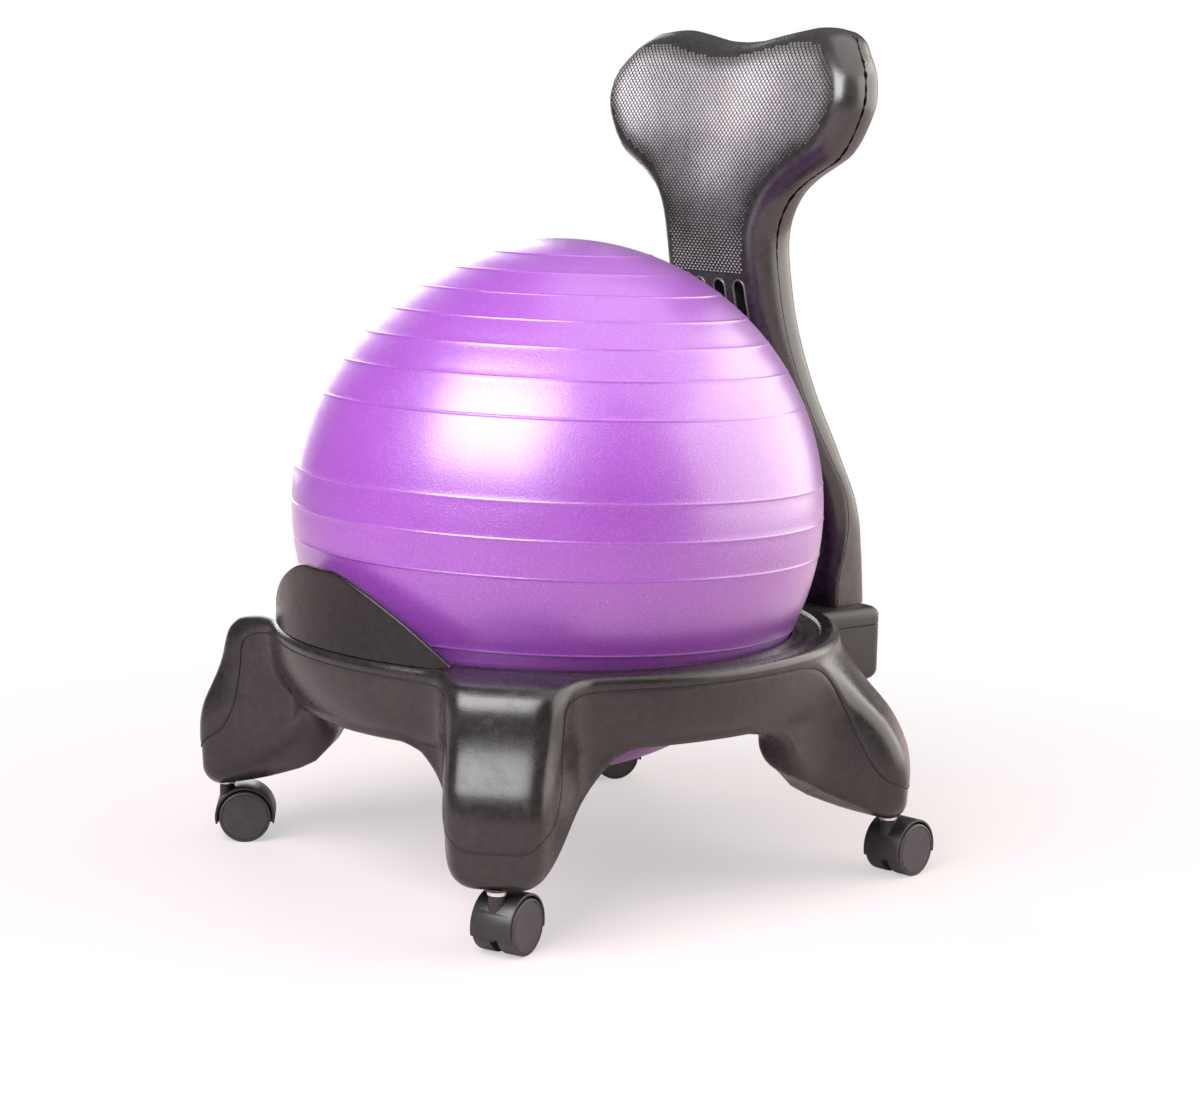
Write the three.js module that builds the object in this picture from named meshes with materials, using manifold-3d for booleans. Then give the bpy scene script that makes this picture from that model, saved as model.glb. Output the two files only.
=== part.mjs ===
// Balance ball chair: an inflated ball seated in a four-legged moulded ring on twin-wheel casters,
// with a low front guard and a moulded back on a curved column.
// Millimetres, +Z up. The chair faces -Y and the sitter's left hand is on +X.
import * as THREE from 'three';
import { mergeVertices } from 'three/addons/utils/BufferGeometryUtils.js';
import Module from 'manifold-3d';

const wasm = await Module();
wasm.setup();

// Shared clearances
const fit = 0.3;
const ballClearance = 3.5;
const overrun = 10;
const seamGap = 0.6;
const wheelRoom = 1.2;

// Ball
const ballRadius = 249.7;
const ballWall = 1.7;
const ballRibWidth = 5;
const ballRibRise = 1.4;
const ballRibLatitudes = [-32.8, -24.2, -7.6, 0, 7.6, 24.4, 32.8, 40.3, 47.3, 54.9, 62.8, 71.6];
const lowerBallLatitudes = [-78, -66, -54, -43];
const upperBallLatitudes = [81];
const widestBallBand = 12;
const ballTilt = 1.4;
const ballSides = 28;
const valveBoreRadius = 4;
const valveCollarRadius = 10;
const valveCollarRise = 3;
const plugHeadRadius = 6.5;
const plugHeadThickness = 1.6;
const plugReach = 13;

// Ring and aprons of the base, sized for the ball that sits in it
const seatShare = 0.893;
const seatRadius = ballRadius * seatShare;
const rimHeight = 232;
const seatDrop = 3;
const dishWidth = 28;
const rimInnerRadius = seatRadius + dishWidth;
const rimWidth = 15.5;
const ringRadius = rimInnerRadius + rimWidth;
const rimEdgeRound = 7;
const apronThickness = 37.5;
const apronFloorRadius = ringRadius - apronThickness;
const sideApronDepth = 67;
const sideArchHeight = rimHeight - sideApronDepth;
const frontApronDepth = 75;
const frontArchHeight = rimHeight - frontApronDepth;
const apronTuckFront = 26;
const apronTuckSide = 17;
const lowerEdgeRound = 8;
const legEdgeRound = 20;
const baseWall = 4.5;

// Height of a caster, which carries the leg above it
const wheelRadius = 25;
const hoodRise = 4;
const hoodRadius = wheelRadius + hoodRise;
const hoodToLeg = 4.6;

// Legs, on the diagonals of the base
const stemStandOff = 54;
const stemRadiusFromAxis = ringRadius + stemStandOff;
const stemHeight = wheelRadius + hoodRadius + hoodToLeg;
const frontLegNose = 19.5;
const frontLegReach = stemRadiusFromAxis + frontLegNose;
const rearLegNose = 18.5;
const rearLegReach = stemRadiusFromAxis + rearLegNose;
const legHalfWidth = 54;
const legRootSetIn = 17;
const legInnerRadius = seatRadius - legRootSetIn;
const undersideRise = 52;

// Front guard
const guardHeight = 72;
const guardTop = rimHeight + guardHeight;
const guardHalfSpan = 145;
const guardThickness = 5;
const guardLean = 3;
const tongueWidth = 22;
const tongueThickness = 3;
const tongueDepth = 16;

// Rear socket box of the base
const boxTopDrop = 5;
const boxTop = rimHeight - boxTopDrop;
const boxDepth = 75;
const boxFloor = boxTop - boxDepth;
const boxSideMargin = 20;
const boxRearMargin = 2;
const boxRound = 12;
const boxSetIn = 12;

// Back and its column
const backTop = 790;
const backDip = 13;
const lobeHalfWidth = 180;
const columnStandOff = 37.5;
const columnReach = ringRadius + columnStandOff;
const shellWall = 3;
const edgeRound = 19;
const rearEdgeRound = 10;
const frontShellDepth = 26;
const rearShellDepth = 23;
const footShellDepth = 43;
const slotWidth = 16;
const slotPitch = 29;
const slotCount = 4;
const slotTopDrop = 239;
const slotTop = backTop - slotTopDrop;
const slotLength = 89;
const slotBottom = slotTop - slotLength;

// Steel spine inside the column
const spineHalfWidth = 30;
const spineThickness = 8;
const spineTopDrop = 178;
const spineTop = backTop - spineTopDrop;
const spineInsertion = 62;
const spineSteps = 14;

// Fasteners
const shellScrewHeightShares = [0.129, 0.31, 0.644];
const lobeScrewOffset = 112;
const lobeScrewDrop = 74;
const shellScrewRadius = 2;
const shellScrewHeadRadius = 4.2;
const shellScrewHeadHeight = 2.6;
const shellScrewRecess = 5.5;
const screwBossRadius = 6;
const screwBossStandOff = 4;
const columnBoltOffset = 17;
const columnBoltDrop = 35;
const columnBoltHeight = boxTop - columnBoltDrop;
const columnBoltRadius = 4;
const columnBoltHeadRadius = 7.2;
const columnBoltHeadHeight = 5;
const columnBoltTipReach = 14.4;
const columnWasherRadius = 9.5;
const columnWasherThickness = 1.6;

// Casters
const wheelWidth = 17.5;
const wheelFaceRound = 1.2;
const wheelSides = 16;
const hoodWeb = 7;
const hoodWall = 2;
const hoodLip = 1.6;
const hoodStartAngle = -14;
const hoodEndAngle = 192;
const webDrop = 9;
const casterTrail = 18;
const axleRadius = 3;
const axleSetIn = 3.6;
const swivelBossRadius = 9;
const stemCollarHeight = 3;
const swivelGap = 2.8;
const swivelBossTop = stemHeight - fit - stemCollarHeight - swivelGap;
const stemRadius = 4;
const stemCollarRadius = 6.5;
const stemGripRadius = 5.2;
const stemLength = 40;
const socketRadius = 8;
const socketFlangeRadius = 11;
const socketFlangeThickness = 2;
const socketBossRadius = 15;
const socketBossHeight = 48;

// Facets of round forms
const weldTolerance = 1e-4;
const postSides = 12;
const dowelSides = 8;
const washerSides = 16;
const hexagonSides = 6;
const axleSides = 10;
const stemSides = 10;
const socketSides = 12;
const plugSides = 12;
const hoodArcSteps = 9;
const hoodRoomSides = 18;
const webSides = 16;
const cornerSteps = 4;
const guardStations = 28;
const outlineSteps = 60;
const floorSearchSteps = 4;

const degree = Math.PI / 180;
const quarterTurn = Math.PI / 2;
const eighthTurn = Math.PI / 4;

// Finishes, from the photograph
const finishes = {
  mouldedBlack: { color: 0x2b2826, roughness: 0.5, metalness: 0 },
  guardBlack: { color: 0x24211f, roughness: 0.45, metalness: 0 },
  backBlack: { color: 0x2a2828, roughness: 0.48, metalness: 0 },
  ballPurple: { color: 0xa858c8, roughness: 0.38, metalness: 0 },
  plugPurple: { color: 0x8f45b0, roughness: 0.5, metalness: 0 },
  casterBlack: { color: 0x1e1e20, roughness: 0.42, metalness: 0 },
  tyreBlack: { color: 0x2a2a2d, roughness: 0.55, metalness: 0 },
  socketNylon: { color: 0x3a3a3a, roughness: 0.6, metalness: 0 },
  zincSteel: { color: 0xc9c9c9, roughness: 0.3, metalness: 1 },
  paintedSteel: { color: 0x202020, roughness: 0.55, metalness: 0.6 },
};

const chair = new THREE.Group();

// Shape helpers

function weld(geometry) {
  geometry.deleteAttribute('normal');
  geometry.deleteAttribute('uv');
  return mergeVertices(geometry, weldTolerance);
}

function toSolid(geometry) {
  const welded = weld(geometry.clone());
  return new wasm.Manifold(
    new wasm.Mesh({
      numProp: 3,
      vertProperties: new Float32Array(welded.attributes.position.array),
      triVerts: new Uint32Array(welded.index.array),
    }),
  );
}

function toGeometry(solid) {
  const mesh = solid.getMesh();
  const geometry = new THREE.BufferGeometry();
  geometry.setAttribute('position', new THREE.BufferAttribute(mesh.vertProperties, 3));
  geometry.setIndex(new THREE.BufferAttribute(mesh.triVerts, 1));
  return geometry;
}

function addPart(parent, name, geometry, finish) {
  const plain = geometry.isBufferGeometry ? weld(geometry) : toGeometry(geometry);
  plain.computeVertexNormals();
  const mesh = new THREE.Mesh(plain, new THREE.MeshStandardMaterial(finishes[finish]));
  mesh.name = name;
  parent.add(mesh);
  return mesh;
}

// Upright cylinder from one height to another.
function post(radius, bottom, top, x = 0, y = 0, sides = postSides) {
  const geometry = new THREE.CylinderGeometry(radius, radius, top - bottom, sides);
  geometry.rotateX(quarterTurn);
  geometry.translate(x, y, (bottom + top) / 2);
  return geometry;
}

// Cylinder along Y from one depth to another.
function dowel(radius, front, rear, x, z, sides = dowelSides) {
  const geometry = new THREE.CylinderGeometry(radius, radius, rear - front, sides);
  geometry.translate(x, (front + rear) / 2, z);
  return geometry;
}

function block(x0, x1, y0, y1, z0, z1) {
  const geometry = new THREE.BoxGeometry(x1 - x0, y1 - y0, z1 - z0);
  geometry.translate((x0 + x1) / 2, (y0 + y1) / 2, (z0 + z1) / 2);
  return geometry;
}

// Solid of revolution about Z from [radius, height] points.
function turned(profile, segments) {
  const points = profile.map(([radius, height]) => new THREE.Vector2(radius, height));
  const geometry = new THREE.LatheGeometry(points, segments);
  geometry.rotateX(quarterTurn);
  return geometry;
}

// Piecewise smooth lookup in a table of [position, value] rows sorted by position.
function lookUp(table, position) {
  const last = table.length - 1;
  if (position <= table[0][0]) return table[0][1];
  if (position >= table[last][0]) return table[last][1];
  let row = 0;
  while (table[row + 1][0] < position) row += 1;
  const slope = (i) => {
    const before = table[Math.max(i - 1, 0)];
    const after = table[Math.min(i + 1, last)];
    return (after[1] - before[1]) / (after[0] - before[0]);
  };
  const [p0, v0] = table[row];
  const [p1, v1] = table[row + 1];
  const span = p1 - p0;
  const t = (position - p0) / span;
  const rise = v1 - v0;
  const bend = (1 - t) * (slope(row) * span - rise) - t * (slope(row + 1) * span - rise);
  return v0 + t * rise + t * (1 - t) * bend;
}

const mix = THREE.MathUtils.lerp;
const smooth = THREE.MathUtils.smoothstep;

// Ball: height of its centre and its radius at any height

const seatHeight = rimHeight - seatDrop;
const ballCentre = seatHeight + Math.sqrt(ballRadius ** 2 - seatRadius ** 2);

function ballRadiusAt(height, clearance = 0) {
  const reach = (ballRadius + clearance) ** 2 - (height - ballCentre) ** 2;
  return Math.sqrt(Math.max(reach, 0));
}

// Base moulding

// Leg profiles: share of the leg's reach at shares of its height from stem to rim.
const frontLegShares = [
  [0, 0.974],
  [0.07, 0.984],
  [0.38, 0.991],
  [0.68, 0.924],
  [0.88, 0.871],
  [0.96, 0.842],
  [1, 0.764],
];
const rearLegShares = [
  [0, 0.972],
  [0.07, 0.985],
  [0.26, 0.989],
  [0.41, 0.97],
  [0.56, 0.921],
  [0.72, 0.823],
  [0.92, 0.684],
  [1, 0.648],
];
// Rise of a leg's underside, as a share of undersideRise, at shares of the way in from the stem.
const undersideShares = [
  [0, 0],
  [0.3, 0.12],
  [0.55, 0.27],
  [0.8, 0.5],
  [1, 1],
];
const legNarrowingShare = 0.2;
const legNarrowingStartShare = 0.4;
const legCornerPower = 7;
const legFilletPower = 8;
const tuckPower = 3;
const roundEdgeShare = 1 / 3;
const cornerShare = 1 - Math.SQRT1_2;
const legSideStart = 3 * degree;
const legSideEnd = 26 * degree;
// Shares of the way down the outer wall, in along the underside and up the inner wall.
const outsideLevels = {
  wallShares: [0, 0.06, 0.16, 0.34, 0.56, 0.78, 1],
  floorShares: [0, 0.5, 1],
  innerShares: [0.5, 1],
};
const hollowLevels = {
  wallShares: [0, 0.15, 0.5, 1],
  floorShares: [0, 1],
  innerShares: [0.5, 1],
};

// Polar direction of a base section: its leg, its distance in angle from it and its arch.
function sectionAt(angle) {
  const offLeg = Math.abs(((angle + Math.PI * 2) % quarterTurn) - eighthTurn);
  const front = Math.sin(angle) < 0;
  const towardFront = Math.max(-Math.sin(angle), 0) ** 2;
  const away = smooth(offLeg, legSideStart, legSideEnd);
  return {
    angle,
    offLeg,
    away,
    reach: front ? frontLegReach : rearLegReach,
    reachShares: front ? frontLegShares : rearLegShares,
    tuck: mix(apronTuckSide, apronTuckFront, towardFront),
    arch: mix(sideArchHeight, frontArchHeight, towardFront),
  };
}

// Outer radius of the base at a height, for its outside (inset 0) or its hollow (inset a wall).
function outerRadius(section, height, inset) {
  const legShare = (height - stemHeight) / (rimHeight - stemHeight);
  const reach = section.reach * lookUp(section.reachShares, legShare) - inset;
  const narrowing = legNarrowingShare * Math.max(1 - legShare / legNarrowingStartShare, 0) ** 2;
  const halfWidth = legHalfWidth * (1 - narrowing) - inset;
  const alongShare = Math.cos(section.offLeg) / reach;
  const acrossShare = Math.sin(section.offLeg) / halfWidth;
  const leg = (alongShare ** legCornerPower + acrossShare ** legCornerPower) ** (-1 / legCornerPower);
  const drop = Math.max((rimHeight - height) / (rimHeight - section.arch), 0);
  const ring = ringRadius - section.tuck * Math.min(drop, 1) ** tuckPower - inset;
  return (leg ** legFilletPower + ring ** legFilletPower) ** (1 / legFilletPower);
}

function undersideHeight(section, radius, inset) {
  const inward = (stemRadiusFromAxis - radius) / (stemRadiusFromAxis - legInnerRadius);
  const leg = stemHeight + undersideRise * lookUp(undersideShares, inward);
  return mix(leg, section.arch, section.away) + inset;
}

// Angles of the sections: close together across the sides of each leg.
function sectionAngles(shares) {
  const angles = [];
  for (let leg = 0; leg < 4; leg += 1) {
    const centre = (leg + 0.5) * quarterTurn;
    for (const share of shares) angles.push(centre + share * eighthTurn);
  }
  return angles;
}
const outsideAngleShares = [
  -1, -0.74, -0.52, -0.4, -0.33, -0.275, -0.235, -0.205, -0.16, 0, 0.16, 0.205, 0.235, 0.275, 0.33,
  0.4, 0.52, 0.74,
];
const hollowAngleShares = [-1, -0.6, -0.36, -0.26, -0.19, 0, 0.19, 0.26, 0.36, 0.6];

// The seat's lip clears the ball also in the middle of the widest facet.
const widestStep = (outsideAngleShares[1] - outsideAngleShares[0]) * eighthTurn;
const seatLipRadius = seatRadius / Math.cos(widestStep / 2) + fit;

// Closed section of the base in [radius, height] points, from the ball's seat outwards and down,
// under the leg or arch and up the inner wall.
function baseSection(angle, inset, levels) {
  const section = sectionAt(angle);
  const seat = seatHeight - inset;
  const roof = inset === 0 ? rimHeight : seat;
  const crest = ringRadius - rimEdgeRound - inset;
  const shoulder = Math.max(outerRadius(section, rimHeight - inset, inset) - rimEdgeRound, crest + fit);
  const lip = seatLipRadius + inset;
  const points = [
    [lip, seat],
    [rimInnerRadius, seat],
    [rimInnerRadius + seatDrop, roof],
    [crest, roof],
    [shoulder, roof - fit],
  ];
  const foot = (radius) => undersideHeight(section, radius, inset);
  const edge = mix(legEdgeRound, lowerEdgeRound, section.away) - inset;
  let floorRadius = outerRadius(section, section.arch, inset);
  for (let step = 0; step < floorSearchSteps; step += 1) {
    floorRadius = outerRadius(section, foot(floorRadius) + edge, inset);
  }
  const wallTop = roof - rimEdgeRound * roundEdgeShare;
  const wallFoot = foot(floorRadius) + edge;
  for (const share of levels.wallShares) {
    const height = mix(wallTop, wallFoot, share);
    points.push([outerRadius(section, height, inset), height]);
  }
  const inner = mix(legInnerRadius, apronFloorRadius, section.away) + inset;
  const innerEdge = Math.min(lowerEdgeRound, edge);
  const floorStart = Math.max(floorRadius - edge, inner + innerEdge + fit);
  points.push([mix(floorRadius, floorStart, cornerShare), foot(floorRadius) + edge * cornerShare]);
  for (const share of levels.floorShares) {
    const radius = mix(floorStart, inner + innerEdge, share);
    points.push([radius, foot(radius)]);
  }
  const innerFoot = foot(inner) + innerEdge;
  points.push([inner, innerFoot]);
  for (const share of levels.innerShares) {
    const height = mix(innerFoot, seat - seatDrop, share);
    const wall = mix(inner, lip, share ** 2);
    points.push([Math.max(wall, ballRadiusAt(height, ballClearance) + inset), height]);
  }
  return points;
}

// Doughnut-like solid from closed sections round the Z axis.
function ringSolid(angles, sectionOf) {
  const positions = [];
  const indices = [];
  const sections = angles.map(sectionOf);
  const count = sections[0].length;
  sections.forEach((section, i) => {
    for (const [radius, height] of section) {
      positions.push(radius * Math.cos(angles[i]), radius * Math.sin(angles[i]), height);
    }
  });
  for (let i = 0; i < angles.length; i += 1) {
    const next = (i + 1) % angles.length;
    for (let j = 0; j < count; j += 1) {
      const k = (j + 1) % count;
      const a = i * count + j;
      const b = next * count + j;
      const c = next * count + k;
      const d = i * count + k;
      indices.push(a, d, b, b, d, c);
    }
  }
  const geometry = new THREE.BufferGeometry();
  geometry.setAttribute('position', new THREE.Float32BufferAttribute(positions, 3));
  geometry.setIndex(indices);
  return toSolid(geometry);
}

// Back: outline and depths at shares of its height above the foot

const footHeight = boxTop + fit;
const backHeight = backTop - footHeight;
// Share of lobeHalfWidth on the right edge, from the foot to the corner where the top begins.
const edgeShares = [
  [0, 0.42],
  [0.109, 0.42],
  [0.36, 0.405],
  [0.595, 0.405],
  [0.659, 0.416],
  [0.696, 0.452],
  [0.727, 0.517],
  [0.753, 0.622],
  [0.773, 0.737],
  [0.792, 0.842],
  [0.831, 0.937],
  [0.881, 1],
  [0.926, 0.983],
  [0.968, 0.895],
  [1, 0.78],
];
// Rise of the top edge between dip and lobe tops, at shares of the way out to the corner.
const topRiseShares = [
  [0, 0],
  [0.2, 0.13],
  [0.45, 0.62],
  [0.65, 0.96],
  [0.75, 1],
  [0.9, 0.86],
  [1, 0.58],
];
const topBlendPower = 8;
// Depth of the seam behind the ball's axis, in shares of columnReach, at shares of the height.
const seamShares = [
  [0, 0.961],
  [0.058, 0.968],
  [0.098, 0.986],
  [0.15, 1],
  [0.207, 0.979],
  [0.281, 0.898],
  [0.376, 0.797],
  [0.49, 0.71],
  [0.584, 0.669],
  [0.653, 0.653],
  [0.722, 0.657],
  [0.782, 0.668],
  [0.871, 0.678],
  [0.941, 0.7],
  [1, 0.748],
];
// Share of the front shell's depth in use, and of the rear shell's extra depth at the foot.
const frontDepthShares = [
  [0, 0.26],
  [0.098, 0.4],
  [0.15, 0.66],
  [0.207, 0.84],
  [0.376, 0.9],
  [0.554, 1],
  [1, 1],
];
const footDepthShares = [
  [0, 1],
  [0.058, 0.75],
  [0.108, 0.25],
  [0.158, -0.12],
  [0.217, -0.3],
  [0.286, -0.1],
  [0.366, 0],
  [1, 0],
];
const leastShellDepthShare = 0.3;

const heightShare = (height) => (height - footHeight) / backHeight;
const seamDepth = (height) => {
  const drawn = columnReach * lookUp(seamShares, heightShare(height));
  const least = frontShellDepth * leastShellDepthShare;
  return Math.max(drawn, ballRadiusAt(height, ballClearance) + least);
};
const rearDepth = (height) => {
  const extra = (footShellDepth - rearShellDepth) * lookUp(footDepthShares, heightShare(height));
  return seamDepth(height) + rearShellDepth + extra;
};
const frontDepth = (x, height) => {
  const depth = frontShellDepth * lookUp(frontDepthShares, heightShare(height));
  const ball = ballRadiusAt(height, ballClearance);
  const atBall = Math.sqrt(Math.max(ball ** 2 - x ** 2, 0));
  return Math.max(seamDepth(height) - depth, atBall);
};
const topCornerRiseShare = topRiseShares[topRiseShares.length - 1][1];
const edgeHeight = backHeight - backDip * (1 - topCornerRiseShare);
const spineDepth = (height) => (frontDepth(0, height) + rearDepth(height)) / 2;

// Point of the back's outline grid: across runs from -1 to 1, up from 0 to 1.
function gridPoint(across, up, inset) {
  const halfWidth = lobeHalfWidth * lookUp(edgeShares, up) - inset;
  const rise = lookUp(topRiseShares, Math.abs(across)) - topCornerRiseShare;
  const height = footHeight + edgeHeight * up + up ** topBlendPower * (backDip * rise - inset);
  return [across * halfWidth, height];
}

const upShares = [
  0, 0.07, 0.14, 0.21, 0.3, 0.41, 0.52, 0.61, 0.67, 0.71, 0.74, 0.765, 0.79, 0.82, 0.87, 0.92, 0.96,
  0.985, 1,
];
const acrossShares = [-1, -0.98, -0.9, -0.78, -0.5, -0.17, 0.17, 0.5, 0.78, 0.9, 0.98, 1];

// Outline of the back without its foot, for the distance of a point from the edge.
function outlinePoints(inset) {
  const points = [];
  const steps = outlineSteps;
  for (let i = 0; i <= steps; i += 1) points.push(gridPoint(1, i / steps, inset));
  for (let i = 1; i < steps; i += 1) points.push(gridPoint(1 - (2 * i) / steps, 1, inset));
  for (let i = steps; i >= 0; i -= 1) points.push(gridPoint(-1, i / steps, inset));
  return points;
}

function distanceToOutline(x, z, outline) {
  let best = Infinity;
  for (let i = 0; i + 1 < outline.length; i += 1) {
    const [ax, az] = outline[i];
    const [bx, bz] = outline[i + 1];
    const dx = bx - ax;
    const dz = bz - az;
    const along = THREE.MathUtils.clamp(((x - ax) * dx + (z - az) * dz) / (dx * dx + dz * dz), 0, 1);
    best = Math.min(best, Math.hypot(x - ax - along * dx, z - az - along * dz));
  }
  return best;
}

// Rounded edge: 0 on the outline, 1 from a round inwards.
function roundedShare(distance, round) {
  const t = Math.min(distance / round, 1);
  return Math.sqrt(1 - (1 - t) ** 2);
}

// Half shell of the back, a wall thick and open at the seam and the foot.
function backShell(seamOffset, faceDepth, round) {
  const positions = [];
  const indices = [];
  const columns = acrossShares.length;
  const rows = upShares.length;
  for (const inset of [0, shellWall]) {
    const outline = outlinePoints(inset);
    for (const up of upShares) {
      for (const across of acrossShares) {
        const [x, z] = gridPoint(across, up, inset);
        const seam = seamDepth(z) + seamOffset;
        const side = Math.sign(faceDepth(x, z) - seam);
        const face = faceDepth(x, z) - side * inset;
        const share = roundedShare(distanceToOutline(x, z, outline), round - inset);
        positions.push(x, mix(seam, face, share), z);
      }
    }
  }
  const sheet = columns * rows;
  const at = (sheetIndex, row, column) => sheetIndex * sheet + row * columns + column;
  const corners = (sheetIndex, row, column) => [
    at(sheetIndex, row, column),
    at(sheetIndex, row, column + 1),
    at(sheetIndex, row + 1, column + 1),
    at(sheetIndex, row + 1, column),
  ];
  for (let row = 0; row + 1 < rows; row += 1) {
    for (let column = 0; column + 1 < columns; column += 1) {
      const [a, b, c, d] = corners(0, row, column);
      const [e, f, g, h] = corners(1, row, column);
      indices.push(a, b, c, a, c, d);
      indices.push(e, g, f, e, h, g);
    }
  }
  const rim = [];
  for (let column = 0; column + 1 < columns; column += 1) rim.push([0, column]);
  for (let row = 0; row + 1 < rows; row += 1) rim.push([row, columns - 1]);
  for (let column = columns - 1; column > 0; column -= 1) rim.push([rows - 1, column]);
  for (let row = rows - 1; row > 0; row -= 1) rim.push([row, 0]);
  rim.forEach(([row, column], i) => {
    const [nextRow, nextColumn] = rim[(i + 1) % rim.length];
    const a = at(0, row, column);
    const b = at(0, nextRow, nextColumn);
    const c = at(1, nextRow, nextColumn);
    const d = at(1, row, column);
    indices.push(a, c, b, a, d, c);
  });
  if (seamOffset > 0) {
    for (let i = 0; i < indices.length; i += 3) {
      [indices[i + 1], indices[i + 2]] = [indices[i + 2], indices[i + 1]];
    }
  }
  const geometry = new THREE.BufferGeometry();
  geometry.setAttribute('position', new THREE.Float32BufferAttribute(positions, 3));
  geometry.setIndex(indices);
  return toSolid(geometry);
}

const footHalfWidth = lobeHalfWidth * edgeShares[0][1];
const boxHalfWidth = footHalfWidth + boxSideMargin;
const boxRear = rearDepth(footHeight) + boxRearMargin;
const spineFoot = footHeight - spineInsertion;

// Places of the shell screws: three up the column into the spine, two across the lobes.
const shellScrews = [
  ...shellScrewHeightShares.map((share) => ({
    x: 0,
    z: footHeight + share * backHeight,
    inSpine: true,
  })),
  { x: -lobeScrewOffset, z: backTop - lobeScrewDrop, inSpine: false },
  { x: lobeScrewOffset, z: backTop - lobeScrewDrop, inSpine: false },
];

// Caster places: front pair and rear pair, each turned as the photograph shows.
const casters = [
  { name: 'front_right', x: -1, y: -1, heading: -33 },
  { name: 'front_left', x: 1, y: -1, heading: 22 },
  { name: 'rear_left', x: 1, y: 1, heading: 9 },
  { name: 'rear_right', x: -1, y: 1, heading: -15 },
];
const casterPlace = stemRadiusFromAxis * Math.SQRT1_2;
const wheelInner = hoodWeb / 2 + fit;
const wheelOuter = wheelInner + wheelWidth;
const axleHalfLength = wheelOuter - axleSetIn;
const collarFoot = stemHeight - fit - stemCollarHeight;
const stemFoot = swivelBossTop - swivelBossRadius;
const stemTop = stemHeight + stemLength;
const boltSeat = boxRear - columnBoltHeadHeight - columnWasherThickness - 4 * fit;
const boltTip = spineDepth(footHeight) - columnBoltTipReach;

function socketBoxSolid() {
  const outline = new THREE.Shape();
  const x = boxHalfWidth;
  const y0 = ringRadius - rimEdgeRound - boxSetIn;
  const y1 = boxRear;
  const r = boxRound;
  outline.moveTo(-x, y0);
  outline.lineTo(x, y0);
  outline.lineTo(x, y1 - r);
  outline.absarc(x - r, y1 - r, r, 0, quarterTurn);
  outline.lineTo(r - x, y1);
  outline.absarc(r - x, y1 - r, r, quarterTurn, Math.PI);
  outline.closePath();
  const depth = boxTop - boxFloor;
  const options = { depth, bevelEnabled: false, curveSegments: cornerSteps };
  const geometry = new THREE.ExtrudeGeometry(outline, options);
  geometry.translate(0, 0, boxFloor);
  return toSolid(geometry);
}

function baseMoulding() {
  const outside = (angle) => baseSection(angle, 0, outsideLevels);
  const inside = (angle) => baseSection(angle, baseWall, hollowLevels);
  let body = ringSolid(sectionAngles(outsideAngleShares), outside).add(socketBoxSolid());
  let hollow = ringSolid(sectionAngles(hollowAngleShares), inside);
  const pillar = spineHalfWidth + screwBossRadius;
  for (const side of [-1, 1]) {
    const edges = [side * pillar, side * (boxHalfWidth - baseWall)].sort((a, b) => a - b);
    const room = block(
      edges[0], edges[1], ringRadius - rimEdgeRound - boxSetIn, boxRear - baseWall,
      boxFloor + baseWall, boxTop - baseWall,
    );
    hollow = hollow.add(toSolid(room));
  }
  for (const caster of casters) {
    const bossTop = stemHeight + socketBossHeight;
    hollow = hollow.subtract(
      toSolid(post(socketBossRadius, 0, bossTop, caster.x * casterPlace, caster.y * casterPlace)),
    );
  }
  body = body.subtract(hollow);
  for (const caster of casters) {
    const x = caster.x * casterPlace;
    const y = caster.y * casterPlace;
    const seatRoof = stemHeight + socketFlangeThickness + 2 * fit;
    const seat = post(socketFlangeRadius + 2 * fit, stemHeight - overrun, seatRoof, x, y);
    const boreTop = stemHeight + socketBossHeight + overrun;
    const bore = post(socketRadius + fit, stemHeight - overrun, boreTop, x, y);
    body = body.subtract(toSolid(seat)).subtract(toSolid(bore));
  }
  const spineFace = spineThickness / 2 + fit;
  const middle = spineDepth(footHeight);
  body = body.subtract(
    toSolid(
      block(
        -spineHalfWidth - fit, spineHalfWidth + fit, middle - spineFace, middle + spineFace,
        spineFoot - fit, rimHeight + overrun,
      ),
    ),
  );
  for (const side of [-1, 1]) {
    const x = side * columnBoltOffset;
    const bore = toSolid(dowel(columnBoltRadius + fit, boltTip - fit, boxRear, x, columnBoltHeight));
    const sinkRadius = columnWasherRadius + 2 * fit;
    const sink = toSolid(dowel(sinkRadius, boltSeat, boxRear + overrun, x, columnBoltHeight, washerSides));
    body = body.subtract(bore).subtract(sink);
  }
  for (const angle of tongueAngles) {
    const pocket = tongueSolid(angle, fit);
    body = body.subtract(pocket);
  }
  return body;
}

// Front guard: a half-moon wall on the rim, with tongues into the rim

const guardRadius = ringRadius - rimEdgeRound * roundEdgeShare;
const guardHalfAngle = Math.asin(guardHalfSpan / guardRadius);
const guardHeightShares = [
  [0, 1],
  [0.18, 0.99],
  [0.4, 0.83],
  [0.66, 0.55],
  [0.86, 0.27],
  [1, 0.05],
];
const guardLevelShares = [0, 0.5, 1];
const tongueShares = [-0.62, 0, 0.62];
const tongueAngles = tongueShares.map((share) => -quarterTurn + share * guardHalfAngle);

function tongueSolid(angle, room) {
  const middle = guardRadius - guardThickness + fit + tongueThickness / 2;
  const thickness = tongueThickness + 2 * room;
  const width = tongueWidth + 2 * room;
  const height = tongueDepth + overrun;
  const geometry = new THREE.BoxGeometry(thickness, width, height);
  geometry.translate(middle, 0, rimHeight - tongueDepth - room + height / 2);
  geometry.rotateZ(angle);
  return toSolid(geometry);
}

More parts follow.
